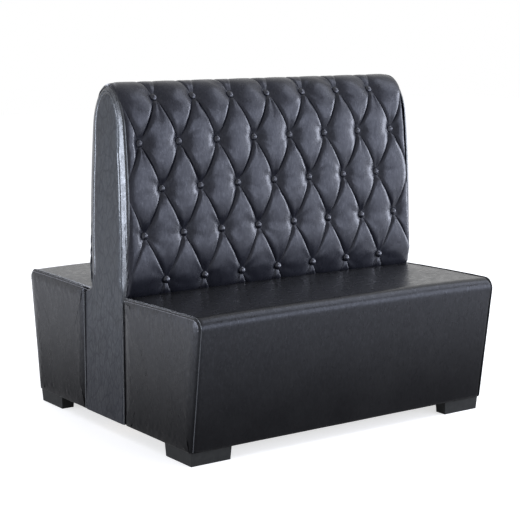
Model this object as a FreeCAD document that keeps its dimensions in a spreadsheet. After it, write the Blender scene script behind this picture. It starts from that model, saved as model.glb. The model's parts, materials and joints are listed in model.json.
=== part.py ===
"""Double-sided booth seat: two bench units joined back to back by one deep-buttoned back.

Frame: X runs along the seats, Z is up, the front bench faces -Y. The origin is on the floor under
the middle of the booth. Lengths are millimetres.
"""
import FreeCAD, Part
import math
import os
import re
import Sketcher
from FreeCAD import Placement, Rotation, Vector

SIZES = (
    ("overall_width", 1200, "outside of the end covers at the floor"),
    ("overall_depth", 1096, "nose of one seat to nose of the other"),
    ("toe_depth", 992, "foot of one sloping front to foot of the other"),
    ("seat_height", 468, "top of the rolled front edge above the floor"),
    ("rear_drop", 6, "how much lower the seat is at the back"),
    ("seat_crown", 5, "rise of the seat top in the middle of its length"),
    ("depth_crown", 3, "rise of the seat top in the middle of its depth"),
    ("nose_radius", 34, "roll at the top of the sloping front"),
    ("rear_radius", 34, "rounded upper rear corner of a seat's end cover"),
    ("tuck_radius", 8, "roll where the seat cover goes down behind"),
    ("tuck_depth", 60, "length of cover that goes down behind"),
    ("near_seam", 101, "middle of the back to the seam of the front end cover"),
    ("far_seam", 152, "middle of the back to the seam of the rear end cover"),
    ("seam_gap", 3, "open seam between end covers"),
    ("foot_height", 45, "floor to the lower edge of the covers"),
    ("hem_height", 2, "lower edge of the covers to the frame"),
    ("fit_gap", 0.3, "clearance round soft pieces"),
    ("leather", 2, "thickness of a cover with its backing cloth"),
    ("board", 18, "thickness of the frame boards"),
    ("front_board", 15, "thickness of the sloping front board"),
    ("front_padding", 20, "foam over the front board"),
    ("end_padding", 10, "depth of the end covers with their padding"),
    ("end_rounding", 8, "rounded rim of the end covers"),
    ("frame_height", 345, "top of the seat frame above the floor"),
    ("clip_height", 6, "height of a spring clip"),
    ("clip_width", 16, "width of a spring clip"),
    ("clip_depth", 14, "front to back size of a spring clip"),
    ("deck", 2, "thickness of the deck cloth"),
    ("spring_wire", 4, "diameter of the spring wire"),
    ("spring_bar", 46, "straight cross bar of a sinuous spring"),
    ("spring_pitch", 22, "spacing of the cross bars"),
    ("spring_spacing", 230, "spacing of the springs along the seat"),
    ("dust_cloth", 1.4, "thickness of the dust cover"),
    ("divider_drop", 12, "centre divider below the spring clips"),
    ("foot_leg", 150, "length of each leg of a foot at its top"),
    ("foot_width", 50, "width of each leg of a foot at its top"),
    ("foot_inset", 8, "foot behind the face of the covers"),
    ("foot_taper", 3, "how much a foot draws in towards the floor, on each side"),
    ("screw_inset", 37, "first foot screw from both outer faces of the foot"),
    ("screw_spacing", 48, "next foot screws from the first"),
    ("screw_shank", 5, "diameter of the foot screws"),
    ("screw_head", 11, "diameter of the screw heads"),
    ("head_height", 4, "height of the screw heads"),
    ("screw_sink", 20, "depth of the sunk holes under the feet"),
    ("screw_length", 60, "foot screw below its head"),
    ("drill_gap", 0.3, "drilled hole larger than the screw, on the radius"),
    ("block_side", 90, "side of a corner block"),
    ("block_height", 60, "height of a corner block"),
    ("joining_shank", 8, "diameter of the coach screws"),
    ("joining_head", 18, "diameter of the coach screw heads"),
    ("joining_reach", 36, "coach screw below its head"),
    ("joining_spread", 600, "spacing of the coach screws along the booth"),
    ("floor_plate", 60, "height of the back frame's floor plate"),
    ("seat_rail_low", 280, "lower edge of the seat rails above the floor"),
    ("seat_rail_height", 60, "height of the seat rails"),
    ("rail_width", 22, "thickness of the seat rails"),
    ("lumbar_low", 700, "lower edge of the lumbar rail above the floor"),
    ("rail_height", 40, "height of the lumbar and top rails"),
    ("top_rail_low", 1000, "lower edge of the top rail above the floor"),
    ("gable_shoulder", 450, "height where the gable boards narrow"),
    ("back_bottom", 470, "lower edge of the padded back above the floor"),
    ("back_thickness", 260, "thickest place of the back's end panels"),
    ("crease_depth", 244, "thickness of the back at the creases, at the seat"),
    ("first_row", 60, "middle of the top to the first row of buttons, over the surface"),
    ("row_pitch", 147.3, "spacing of the rows of buttons, over the surface"),
    ("panel_depth", 24, "end panel of the back, from its open side to its face at the floor"),
    ("back_height", 1118, "middle of the back at the level of the button tufts"),
    ("tuft_rise", 23, "crown of a tuft above its creases"),
    ("tuft_pitch", 148.3, "spacing of the buttons in a row"),
    ("tuft_backing", 6, "thinnest place of the stuffed cover"),
    ("crease_width", 5, "spread of the two creases under a button"),
    ("back_foam", 25, "thickness of the back foam"),
    ("facing", 6, "thickness of the plywood facings"),
    ("panel_rounding", 4, "rounded rim of the back's end covers"),
    ("end_lean", 12, "how far an end panel leans in from floor to top"),
    ("end_top", 1137, "top of the back's end panels above the floor"),
    ("button_width", 25, "diameter of a covered button"),
    ("button_rim", 3, "straight rim of a covered button"),
    ("button_dome", 6, "dome of a covered button above its rim"),
    ("twine", 2, "diameter of the button twine"),
    ("twine_tail", 3, "twine behind the plywood facing"),
)
FRONT = "front"
REAR = "rear"
HALF_TURN = 180
Z_AXIS = Vector(0, 0, 1)

doc = FreeCAD.newDocument("booth_seat")
sheet = doc.addObject("Spreadsheet::Sheet", "Sizes")
sheet.Label = "driving dimensions"
for row, (alias, number, note) in enumerate(SIZES, start=1):
    sheet.set(f"A{row}", alias)
    sheet.set(f"B{row}", str(number))
    sheet.set(f"C{row}", note)
    sheet.setAlias(f"B{row}", alias)
doc.recompute()
mm = {alias: float(sheet.get(alias)) for alias, number, note in SIZES}
nodes = []


def on_sheet(rule):
    """A rule in plain size names, as an expression on the sheet."""
    return re.sub(r"[a-z_]+", lambda word: "Sizes." + word[0] if word[0] in mm else word[0], rule)


def bind(piece, **rules):
    """Tie properties of a piece to the sheet."""
    for name, rule in rules.items():
        piece.setExpression(name, on_sheet(rule))


def tuft_half():
    """Middle of the booth to the open side of an end panel of the back."""
    return mm["overall_width"] / 2 - mm["panel_depth"]


def place(piece, corner, side=FRONT):
    """Tie a piece's place to the sheet. The rear unit is the front one after half a turn."""
    if side == REAR:
        piece.Placement = Placement(Vector(), Rotation(Z_AXIS, HALF_TURN))
    for axis, rule in zip("xyz", corner):
        turned = side == REAR and axis != "z"
        bind(piece, **{f"Placement.Base.{axis}": f"-({rule})" if turned else rule})


def keep(piece, label):
    """Name a finished sub-part."""
    piece.Label = label
    nodes.append(piece)
    return piece


def box(name, corner, sides, side=FRONT):
    """A square board: lowest corner and sizes along X, Y and Z."""
    piece = doc.addObject("Part::Box", name)
    bind(piece, Length=sides[0], Width=sides[1], Height=sides[2])
    place(piece, corner, side)
    return piece


def pin(name, corner, radius, length, along=None, side=FRONT):
    """A round pin or drill, upright unless it points along a direction."""
    piece = doc.addObject("Part::Cylinder", name)
    bind(piece, Radius=radius, Height=length)
    place(piece, corner, side)
    if along:
        half = piece.Placement.Rotation
        piece.Placement = Placement(Vector(), half.multiply(Rotation(Z_AXIS, Vector(*along))))
    return piece


def group(name, pieces):
    """Separate solids that share one sub-part."""
    bundle = doc.addObject("Part::Compound", name)
    bundle.Links = pieces
    return bundle


def join(name, pieces):
    """Touching solids made one."""
    whole = doc.addObject("Part::MultiFuse", name)
    whole.Shapes = pieces
    return whole


def drill(name, blank, drills):
    """A blank with its holes."""
    cut = doc.addObject("Part::Cut", name)
    cut.Base = blank
    cut.Tool = group(f"{name}_drills", drills)
    return cut


def form(label, shape, side=FRONT):
    """A shaped piece that no primitive makes. The rear one is turned half round."""
    piece = doc.addObject("Part::Feature", label)
    piece.Shape = shape
    if side == REAR:
        piece.Placement = Placement(Vector(), Rotation(Z_AXIS, HALF_TURN))
    return keep(piece, label)


# Seat frames. A depth is measured outwards from the middle of the booth, so it runs along -Y in
# front. The front face leans outwards, from the toe to the roll of the nose.
NOSE_RUN = "(overall_depth / 2 - nose_radius - toe_depth / 2)"
NOSE_RISE = "(seat_height - nose_radius - foot_height)"
LEAN = (f"(atan({NOSE_RUN} / {NOSE_RISE})"
        f" + asin(nose_radius / sqrt({NOSE_RUN} * {NOSE_RUN} + {NOSE_RISE} * {NOSE_RISE})))")
FRAME_BOTTOM = "(foot_height + hem_height)"
FRAME_REAR = "(near_seam + fit_gap)"
DECK_TOP = "(frame_height + clip_height + fit_gap + deck)"
END_BOARD_IN = "(overall_width / 2 - end_padding - board)"
PADDING_OUT = "(toe_depth / 2 - leather - fit_gap)"
BOARD_OUT = f"({PADDING_OUT} - front_padding - fit_gap)"
BOARD_IN = f"({BOARD_OUT} - front_board)"


def leaning(depth, height):
    """Depth of a leaning face at a height, from its depth at the lower edge of the covers."""
    return f"({depth} + tan({LEAN}) * ({height} - foot_height))"


def slope_board(name, across, inner, outer, low, high, side):
    """A board whose faces may lean: ends along X, then inner and outer depth at bottom and top."""
    piece = doc.addObject("Part::Wedge", name)
    upright = Rotation(Vector(1, 0, 0), 90)
    turn = HALF_TURN if side == REAR else 0
    piece.Placement = Placement(Vector(), Rotation(Z_AXIS, turn).multiply(upright))
    bind(piece, Xmin=across[0], Xmax=across[1], X2min=across[0], X2max=across[1])
    bind(piece, Ymin=low, Ymax=high, Zmin=inner[0], Z2min=inner[1], Zmax=outer[0], Z2max=outer[1])
    return piece


def seat_frame(side):
    """Boards of one seat: sloping front, two ends, rear and centre divider."""
    inside = (f"-{END_BOARD_IN}", END_BOARD_IN)
    front_low = leaning(BOARD_OUT, FRAME_BOTTOM)
    front_high = leaning(BOARD_OUT, "frame_height")
    back_low = leaning(BOARD_IN, FRAME_BOTTOM)
    back_high = leaning(BOARD_IN, "frame_height")
    keep(slope_board(f"front_board_{side}", inside, (back_low, back_high), (front_low, front_high),
                     FRAME_BOTTOM, "frame_height", side), f"seat_front_board_{side}")
    ends = {"left": (f"-({END_BOARD_IN} + board)", f"-{END_BOARD_IN}"),
            "right": (END_BOARD_IN, f"{END_BOARD_IN} + board")}
    for hand, across in ends.items():
        keep(slope_board(f"end_board_{side}_{hand}", across, (FRAME_REAR, FRAME_REAR),
                         (front_low, front_high), FRAME_BOTTOM, "frame_height", side),
             f"seat_end_board_{side}_{turned_hand(side, hand)}")
    top = "(frame_height - divider_drop)"
    reach = leaning(BOARD_IN, top)
    behind = f"({FRAME_REAR} + board)"
    keep(slope_board(f"divider_{side}", ("-board / 2", "board / 2"), (behind, behind),
                     (back_low, reach), FRAME_BOTTOM, top, side), f"seat_divider_{side}")
    rear = box(f"rear_board_{side}_blank", (f"-{END_BOARD_IN}", f"-({behind})", FRAME_BOTTOM),
               (f"2 * {END_BOARD_IN}", "board", f"frame_height - {FRAME_BOTTOM}"), side)
    keep(drill(f"rear_board_{side}", rear, joining_pins(f"rear_board_{side}_hole", side,
                                                        "joining_shank / 2 + drill_gap",
                                                        behind, "joining_reach")),
         f"seat_rear_board_{side}")


def turned_hand(side, hand):
    """Left and right are named as seen from the front of the booth, also on the turned unit."""
    if side == FRONT:
        return hand
    return "right" if hand == "left" else "left"


def joining_pins(name, side, radius, start, length):
    """Four pins along the depth that join a seat to the back, from a depth inwards."""
    pins = []
    rows = (f"{FRAME_BOTTOM} + floor_plate / 2", "seat_rail_low + seat_rail_height / 2")
    for row, height in enumerate(rows):
        for column, hand in enumerate(("-", "")):
            corner = (f"{hand}joining_spread / 2", f"-({start})", height)
            pins.append(pin(f"{name}_{row}{column}", corner, radius, length, (0, 1, 0), side))
    return pins


def spring_places():
    """Middles of the springs along the seat."""
    count = int((2 * tuft_half() - mm["spring_bar"]) // mm["spring_spacing"]) + 1
    return [index - (count - 1) / 2 for index in range(count)]


def suspension(side):
    """Sinuous springs from the rear board to the front board, and the clips that hold them."""
    height = mm["frame_height"] + mm["clip_height"] / 2
    ends = spring_ends()
    bars = 2 * int((ends[1] - ends[0]) / mm["spring_pitch"] / 2) + 1
    step = (ends[1] - ends[0]) / (bars - 1)
    springs = []
    for place_share in spring_places():
        middle = place_share * mm["spring_spacing"]
        edges = []
        for bar in range(bars):
            hand = 1 if bar % 2 else -1
            depth = -(ends[0] + bar * step)
            start = Vector(middle - hand * mm["spring_bar"] / 2, depth, height)
            stop = Vector(middle + hand * mm["spring_bar"] / 2, depth, height)
            edges.append(Part.LineSegment(start, stop).toShape())
            if bar < bars - 1:
                peak = stop + Vector(hand * step / 2, -step / 2, 0)
                after = stop + Vector(0, -step, 0)
                edges.append(Part.Arc(stop, peak, after).toShape())
        wire = Part.Circle(edges[0].valueAt(0), Vector(1, 0, 0), mm["spring_wire"] / 2)
        springs.append(Part.Wire(edges).makePipeShell([Part.Wire(wire.toShape())], True, False))
    form(f"seat_springs_{side}", Part.makeCompound(springs), side)


def spring_ends():
    """Depths of the first and last cross bar: over the rear board and the front board."""
    lean = math.tan(front_lean(0, 0))
    rise = mm["frame_height"] - mm["foot_height"]
    inner = mm["toe_depth"] / 2 - mm["leather"] - 2 * mm["fit_gap"] - mm["front_padding"]
    return (mm["near_seam"] + mm["fit_gap"] + mm["board"] / 2,
            inner - mm["front_board"] / 2 + lean * rise)


def spring_clips():
    """A saddle over each end bar of each spring, screwed to the boards."""
    clips = []
    depths = (f"{FRAME_REAR} + board / 2",
              leaning(f"({BOARD_OUT} - front_board / 2)", "frame_height"))
    for side in (FRONT, REAR):
        for index, share in enumerate(spring_places()):
            for end, depth in enumerate(depths):
                tag = f"clip_{side}_{index}{end}"
                low = (f"{share} * spring_spacing - clip_width / 2",
                       f"-({depth} + clip_depth / 2)", "frame_height")
                body = box(f"{tag}_body", low, ("clip_width", "clip_depth", "clip_height"), side)
                start = (f"{share} * spring_spacing - clip_width", f"-({depth})",
                         "frame_height + clip_height / 2")
                bore = pin(f"{tag}_bore", start, "spring_wire / 2 + fit_gap / 2",
                           "2 * clip_width", (1, 0, 0), side)
                clips.append(drill(tag, body, [bore]))
    keep(group("clips", clips), "spring_clips")


# Seat coverings. Outlines lie in a plane across the booth: a depth outwards and a height.
LOFT_SHARES = (-1, -0.9, -0.5, 0, 0.5, 0.9, 1)


def at(across, depth, height):
    """A point of the front unit."""
    return Vector(across, -depth, height)


def nose_middle(rise):
    """Middle of the roll at the nose: depth and height."""
    return (mm["overall_depth"] / 2 - mm["nose_radius"],
            mm["seat_height"] + rise - mm["nose_radius"])


def front_lean(inset, rise):
    """Lean of the front face of a layer that lies an inset under the cover's face."""
    depth, height = nose_middle(rise)
    run = depth - mm["toe_depth"] / 2 + inset
    climb = height - mm["foot_height"]
    radius = mm["nose_radius"] - inset
    return math.atan2(run, climb) + math.asin(radius / math.hypot(run, climb))


def seat_points(inset, rise, low):
    """Toe, start, middle and end of the roll: where the front face of a layer bends."""
    depth, height = nose_middle(rise)
    lean = front_lean(inset, rise)
    radius = mm["nose_radius"] - inset
    half = (math.pi / 2 - lean) / 2
    toe = mm["toe_depth"] / 2 - inset + math.tan(lean) * (low - mm["foot_height"])
    return ((toe, low),
            (depth + radius * math.cos(lean), height - radius * math.sin(lean)),
            (depth + radius * math.cos(half), height + radius * math.sin(half)),
            (depth, height + radius))


def seat_outline(across, inset, rise, low):
    """Edges of a seat layer from its toe over the nose and the top to the roll at the back."""
    toe, start, middle, crest = (at(across, *point) for point in seat_points(inset, rise, low))
    rear = mm["near_seam"] + mm["fit_gap"]
    top = mm["seat_height"] + rise - mm["rear_drop"] - inset
    tuck = mm["tuck_radius"] - inset
    turn = rear + mm["tuck_radius"]
    fall = at(across, turn, top)
    slack = mm["depth_crown"] * (1 + rise / mm["seat_crown"]) / 2
    swell = at(across, (turn - crest.y) / 2, (crest.z + top) / 2 + slack)
    bend = at(across, turn - tuck * math.sqrt(0.5), top - tuck * (1 - math.sqrt(0.5)))
    drop = at(across, turn - tuck, top - tuck)
    return [Part.LineSegment(toe, start).toShape(), Part.Arc(start, middle, crest).toShape(),
            Part.Arc(crest, swell, fall).toShape(), Part.Arc(fall, bend, drop).toShape()]


def line(start, stop):
    """A straight edge."""
    return Part.LineSegment(start, stop).toShape()


def ends_of(edges):
    """First and last point of edges that follow each other."""
    return edges[0].valueAt(edges[0].FirstParameter), edges[-1].valueAt(edges[-1].LastParameter)


def cover_section(across, rise):
    """Closed outline of the seat cover: its face outside, its lining inside."""
    outer = seat_outline(across, 0, rise, mm["foot_height"])
    inner = seat_outline(across, mm["leather"], rise, mm["foot_height"])
    outer_toe, outer_rear = ends_of(outer)
    inner_toe, inner_rear = ends_of(inner)
    down = Vector(0, 0, -mm["tuck_depth"])
    edges = outer + [line(outer_rear, outer_rear + down)]
    edges += [line(outer_rear + down, inner_rear + down), line(inner_rear + down, inner_rear)]
    edges += inner[::-1] + [line(inner_toe, outer_toe)]
    return Part.Wire(Part.__sortEdges__(edges))


def foam_section(across, rise):
    """Closed outline of the seat foam on its deck."""
    low = mm["frame_height"] + mm["clip_height"] + 2 * mm["fit_gap"] + mm["deck"]
    edges = seat_outline(across, mm["leather"] + mm["fit_gap"], rise, low)
    toe, rear = ends_of(edges)
    foot = Vector(across, rear.y, low)
    edges += [line(rear, foot), line(foot, toe)]
    return Part.Wire(Part.__sortEdges__(edges))


def crowned(section):
    """Solid through a section that rises towards the middle of the seat."""
    half = mm["overall_width"] / 2 - mm["end_padding"] - mm["fit_gap"]
    wires = [section(half * share, mm["seat_crown"] * (1 - abs(share) ** 3))
             for share in LOFT_SHARES]
    return Part.makeLoft(wires, True, False)


def end_outline(across, seam, inset):
    """Closed outline of a seat's end cover or of its padding."""
    low = mm["foot_height"] + inset
    toe, start, middle, crest = (at(across, *point) for point in seat_points(inset, 0, low))
    rear = seam + inset
    radius = mm["rear_radius"] - inset
    turn = rear + radius
    top = mm["seat_height"] - mm["rear_drop"] - inset
    fall = at(across, turn, top)
    sag = at(across, (turn - crest.y) / 2, crest.z - mm["rear_drop"] / 4)
    bend = at(across, turn - radius * math.sqrt(0.5), top - radius * (1 - math.sqrt(0.5)))
    drop = at(across, rear, top - radius)
    foot = at(across, rear, low)
    edges = [line(toe, start), Part.Arc(start, middle, crest).toShape(),
             Part.Arc(crest, sag, fall).toShape(), Part.Arc(fall, bend, drop).toShape(),
             line(drop, foot), line(foot, toe)]
    return Part.Wire(edges)


def rim_rounded(solid, across, radius):
    """A plate whose outer face has a rounded rim."""
    rim = [edge for edge in solid.Edges
           if all(abs(vertex.X - across) < mm["fit_gap"] / 2 for vertex in edge.Vertexes)]
    return solid.makeFillet(radius, rim)


def end_plate(outline, inner, outer, radius):
    """A plate on the right end, from an inner to an outer face with a rounded rim."""
    face = Part.Face(outline(inner))
    plate = face.extrude(Vector(outer - inner, 0, 0))
    return rim_rounded(plate, outer, radius)


def to_left(shape):
    """The same piece on the left end."""
    return shape.mirror(Vector(), Vector(1, 0, 0))


def seat_ends(side, seam_name):
    """Dished end covers of one seat and the padding that fills them."""
    seam = mm[seam_name] + mm["seam_gap"] / 2
    face = mm["overall_width"] / 2
    rim = face - mm["end_padding"]
    skin = mm["leather"]
    under = skin + mm["fit_gap"]
    cover = end_plate(lambda x: end_outline(x, seam, 0), rim, face, mm["end_rounding"])
    hollow = end_plate(lambda x: end_outline(x, seam, skin), rim - skin, face - skin,
                       mm["end_rounding"] - skin)
    dished = cover.cut(hollow)
    filling = end_plate(lambda x: end_outline(x, seam, under), rim + mm["fit_gap"], face - under,
                        mm["end_rounding"] - under)
    for hand, mirrored in (("left", True), ("right", False)):
        named = turned_hand(side, hand)
        form(f"seat_end_cover_{side}_{named}", to_left(dished) if mirrored else dished, side)
        form(f"seat_end_padding_{side}_{named}", to_left(filling) if mirrored else filling, side)


def seat_cushion(side):
    """Foam, deck cloth, front padding and cover of one seat."""
    form(f"seat_foam_{side}", crowned(foam_section), side)
    form(f"seat_cover_{side}", crowned(cover_section), side)
    half = "(overall_width / 2 - end_padding - fit_gap)"
    outer = (leaning(PADDING_OUT, FRAME_BOTTOM), leaning(PADDING_OUT, DECK_TOP))
    inner = (leaning(f"({PADDING_OUT} - front_padding)", FRAME_BOTTOM),
             leaning(f"({PADDING_OUT} - front_padding)", DECK_TOP))
    keep(slope_board(f"front_padding_{side}", (f"-{half}", half), inner, outer, FRAME_BOTTOM,
                     DECK_TOP, side), f"seat_front_padding_{side}")
    reach = leaning(f"({BOARD_OUT})", "frame_height")
    keep(box(f"deck_{side}", (f"-{half}", f"-{reach}", f"{DECK_TOP} - deck"),
             (f"2 * {half}", f"{reach} - {FRAME_REAR}", "deck"), side), f"seat_deck_cloth_{side}")


# Feet and fasteners. Each foot is the front left one turned about the middle of the booth.
CORNERS = (("front_left", 0), ("front_right", 90), ("rear_right", 180), ("rear_left", 270))
SCREW_PLACES = (("screw_inset", "screw_inset"),
                ("screw_inset + screw_spacing", "screw_inset"),
                ("screw_inset", "screw_inset + screw_spacing"))


def corner_placement(name, angle):
    """Outer corner of a foot and the turn that points its legs along the sides."""
    across = "(overall_width / 2 - foot_inset)"
    depth = "(toe_depth / 2 - foot_inset)"
    left = "left" in name
    front = "front" in name
    return (f"-{across}" if left else across, f"-{depth}" if front else depth,
            Rotation(Z_AXIS, angle))


def at_corner(piece, name, angle, height):
    """Put a piece at a foot's outer corner."""
    across, depth, turn = corner_placement(name, angle)
    piece.Placement = Placement(Vector(), turn)
    bind(piece, **{"Placement.Base.x": across, "Placement.Base.y": depth,
                   "Placement.Base.z": height})
    return piece


def closed_sketch(body, name, points, plane="XY_Plane"):
    """A sketch of straight edges whose corners are tied to the sheet."""
    sketch = body.newObject("Sketcher::SketchObject", name)
    planes = {feature.Role: feature for feature in body.Origin.OriginFeatures}
    sketch.AttachmentSupport = [(planes[plane], "")]
    sketch.MapMode = "FlatFace"
    count = len(points)
    ring = [Vector(mm["foot_leg"] * math.cos(2 * math.pi * step / count),
                   mm["foot_leg"] * math.sin(2 * math.pi * step / count), 0)
            for step in range(count)]
    for step in range(count):
        sketch.addGeometry(Part.LineSegment(ring[step], ring[(step + 1) % count]), False)
    for step in range(count):
        sketch.addConstraint(Sketcher.Constraint("Coincident", step, 2, (step + 1) % count, 1))
    for step, rules in enumerate(points):
        for kind, rule, start in zip(("DistanceX", "DistanceY"), rules, ring[step]):
            place_in = sketch.addConstraint(Sketcher.Constraint(kind, -1, 1, step, 1, start))
            sketch.setExpression(f"Constraints[{place_in}]", on_sheet(rule))
    return sketch


def round_sketch(body, name, radius):
    """A sketch of one circle at each screw place of a foot."""
    sketch = body.newObject("Sketcher::SketchObject", name)
    planes = {plane.Role: plane for plane in body.Origin.OriginFeatures}
    sketch.AttachmentSupport = [(planes["XY_Plane"], "")]
    sketch.MapMode = "FlatFace"
    for step, rules in enumerate(SCREW_PLACES):
        middle = Vector(mm["screw_inset"] + step, mm["screw_inset"] + 2 * step, 0)
        circle = sketch.addGeometry(Part.Circle(middle, Z_AXIS, mm["screw_shank"]), False)
        for kind, rule, start in zip(("DistanceX", "DistanceY"), rules, middle):
            place_in = sketch.addConstraint(Sketcher.Constraint(kind, -1, 1, circle, 3, start))
            sketch.setExpression(f"Constraints[{place_in}]", on_sheet(rule))
        wide = sketch.addConstraint(Sketcher.Constraint("Radius", circle, mm["screw_shank"]))
        sketch.setExpression(f"Constraints[{wide}]", on_sheet(radius))
    return sketch


def foot(name, angle):
    """An L-shaped foot that widens upwards, with sunk screw holes."""
    body = doc.addObject("PartDesign::Body", f"foot_{name}")
    drawn = "foot_taper"
    leg = "foot_leg - foot_taper"
    inner = "foot_width - foot_taper"
    outline = closed_sketch(body, f"foot_{name}_outline",
                            [(drawn, drawn), (leg, drawn), (leg, inner), (inner, inner),
                             (inner, leg), (drawn, leg)])
    pad = body.newObject("PartDesign::Pad", f"foot_{name}_pad")
    pad.Profile = outline
    bind(pad, Length="foot_height", TaperAngle="atan(foot_taper / foot_height)")
    depths = (("shank", "screw_shank / 2 + drill_gap", "foot_height"),
              ("sink", "screw_head / 2 + drill_gap", "screw_sink"))
    for part, radius, depth in depths:
        doc.recompute()
        hole = body.newObject("PartDesign::Pocket", f"foot_{name}_{part}")
        hole.Profile = round_sketch(body, f"foot_{name}_{part}_places", radius)
        hole.Reversed = True
        bind(hole, Length=depth)
    return keep(at_corner(body, name, angle, "0"), f"foot_{name}")


def screw_at(name, angle, spot, rules, height, tag, radius, length):
    """A round solid at a screw place of a foot: a shank, a head or a drill."""
    piece = doc.addObject("Part::Cylinder", f"{tag}_{name}_{spot}")
    bind(piece, Radius=radius, Height=length)
    across, depth, turn = corner_placement(name, angle)
    first, second = rules
    if angle in (90, 270):
        first, second = second, first
    signs = {"front_left": ("+", "+"), "front_right": ("-", "+"),
             "rear_right": ("-", "-"), "rear_left": ("+", "-")}[name]
    place(piece, (f"{across} {signs[0]} ({first})", f"{depth} {signs[1]} ({second})", height))
    return piece


def foot_screws():
    """Sunk screws that hold the feet to the corner blocks."""
    screws = []
    for name, angle in CORNERS:
        for spot, rules in enumerate(SCREW_PLACES):
            head = screw_at(name, angle, spot, rules, "screw_sink - head_height", "screw_head",
                            "screw_head / 2", "head_height")
            shank = screw_at(name, angle, spot, rules, "screw_sink", "screw_shank",
                             "screw_shank / 2", "screw_length")
            screws.append(join(f"screw_{name}_{spot}", [head, shank]))
    keep(group("screws", screws), "foot_screws")


def foot_drills(name, angle, height, length, tag):
    """Clearance drills over one foot."""
    return [screw_at(name, angle, spot, rules, height, tag, "screw_shank / 2 + drill_gap", length)
            for spot, rules in enumerate(SCREW_PLACES)]


def corner_blocks():
    """A block of solid wood in each outer corner of the frames, which takes the foot screws."""
    blocks = []
    reach = leaning(BOARD_IN, FRAME_BOTTOM)
    for name, angle in CORNERS:
        side = FRONT if "front" in name else REAR
        low_end = f"-{END_BOARD_IN}"
        high_end = f"{END_BOARD_IN} - block_side"
        on_low = ("left" in name) == (side == FRONT)
        blank = box(f"block_{name}_blank", (low_end if on_low else high_end, f"-{reach}",
                                            FRAME_BOTTOM),
                    ("block_side", "block_side", "block_height"), side)
        drills = foot_drills(name, angle, FRAME_BOTTOM, "block_height", "block_drill")
        blocks.append(drill(f"block_{name}", blank, drills))
    keep(group("blocks", blocks), "corner_blocks")


def dust_cover(side):
    """Black cloth under one seat frame, with the foot screws passing through."""
    half = "(overall_width / 2 - end_padding - fit_gap)"
    blank = box(f"dust_{side}_blank",
                (f"-{half}", f"-{PADDING_OUT}", "foot_height + fit_gap"),
                (f"2 * {half}", f"{PADDING_OUT} - {FRAME_REAR}", "dust_cloth"), side)
    drills = []
    for name, angle in CORNERS:
        if side in name:
            drills += foot_drills(name, angle, "foot_height", "hem_height", "dust_drill")
    keep(drill(f"dust_{side}", blank, drills), f"dust_cover_{side}")


def coach_screws():
    """Screws from inside each seat through its rear board into the back frame."""
    screws = []
    start = f"({FRAME_REAR} + board)"
    for side in (FRONT, REAR):
        shanks = joining_pins(f"coach_{side}_shank", side, "joining_shank / 2", start,
                              "joining_reach")
        heads = joining_pins(f"coach_{side}_head", side, "joining_head / 2",
                             f"{start} + head_height", "head_height")
        for index, pair in enumerate(zip(heads, shanks)):
            screws.append(join(f"coach_{side}_{index}", list(pair)))
    keep(group("coach", screws), "coach_screws")


# The back's frame: two gables, plates and rails between them.
TUFT_HALF = "(overall_width / 2 - panel_depth)"
BACK_INSIDE = f"({TUFT_HALF} - board)"
CORE = "(crease_depth / 2 - tuft_backing - back_foam - facing - 3 * fit_gap)"
GABLE_SHARES = ((1, 0), (0.868, 0.292), (0.718, 0.519), (0.555, 0.744), (0.466, 0.849),
                (0.36, 0.9), (0.167, 0.93))
LUMBAR_SHARE = 0.786
TOP_RAIL_SHARE = 0.41


def gable(hand):
    """An end board of the back: a wide foot between the seats and a tapering top."""
    body = doc.addObject("PartDesign::Body", f"gable_{hand}")
    shoulder = [("near_seam", FRAME_BOTTOM), ("near_seam", "gable_shoulder")]
    tapering = [(f"{CORE} * {wide}", f"back_bottom + {high} * (back_height - back_bottom)")
                for wide, high in GABLE_SHARES]
    half = shoulder + tapering
    other = [(f"-({depth})", height) for depth, height in reversed(half)]
    outline = closed_sketch(body, f"gable_{hand}_outline", half + other, "YZ_Plane")
    pad = body.newObject("PartDesign::Pad", f"gable_{hand}_pad")
    pad.Profile = outline
    bind(pad, Length="board")
    place(body, (f"-{TUFT_HALF}" if hand == "left" else BACK_INSIDE, "0", "0"))
    keep(body, f"back_gable_{hand}")


def joining_drills(name, side):
    """Drills through a seat's rear board into the back frame."""
    return joining_pins(name, side, "joining_shank / 2 + drill_gap", f"({FRAME_REAR} + board)",
                        "joining_reach + fit_gap")


def back_frame():
    """Floor plate, seat rails, lumbar rail, top rail and centre post between the gables."""
    length = f"2 * {BACK_INSIDE}"
    start = f"-{BACK_INSIDE}"
    plate = box("floor_plate_blank", (start, "-near_seam", FRAME_BOTTOM),
                (length, "2 * near_seam", "floor_plate"))
    drills = joining_drills("plate_front", FRONT) + joining_drills("plate_rear", REAR)
    keep(drill("floor_plate", plate, drills), "back_floor_plate")
    for side in (FRONT, REAR):
        rail = box(f"seat_rail_{side}_blank", (start, "-near_seam", "seat_rail_low"),
                   (length, "rail_width", "seat_rail_height"), side)
        keep(drill(f"seat_rail_{side}", rail, joining_drills(f"rail_{side}", side)),
             f"back_seat_rail_{side}")
    for label, share, low in (("lumbar", LUMBAR_SHARE, "lumbar_low"),
                              ("top", TOP_RAIL_SHARE, "top_rail_low")):
        keep(box(f"{label}_rail", (start, f"-{share} * {CORE}", low),
                 (length, f"2 * {share} * {CORE}", "rail_height")), f"back_{label}_rail")
    keep(box("centre_post", ("-board / 2", "rail_width - near_seam",
                             f"{FRAME_BOTTOM} + floor_plate"),
             ("board", "2 * (near_seam - rail_width)",
              f"lumbar_low - floor_plate - {FRAME_BOTTOM}")), "back_centre_post")


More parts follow.
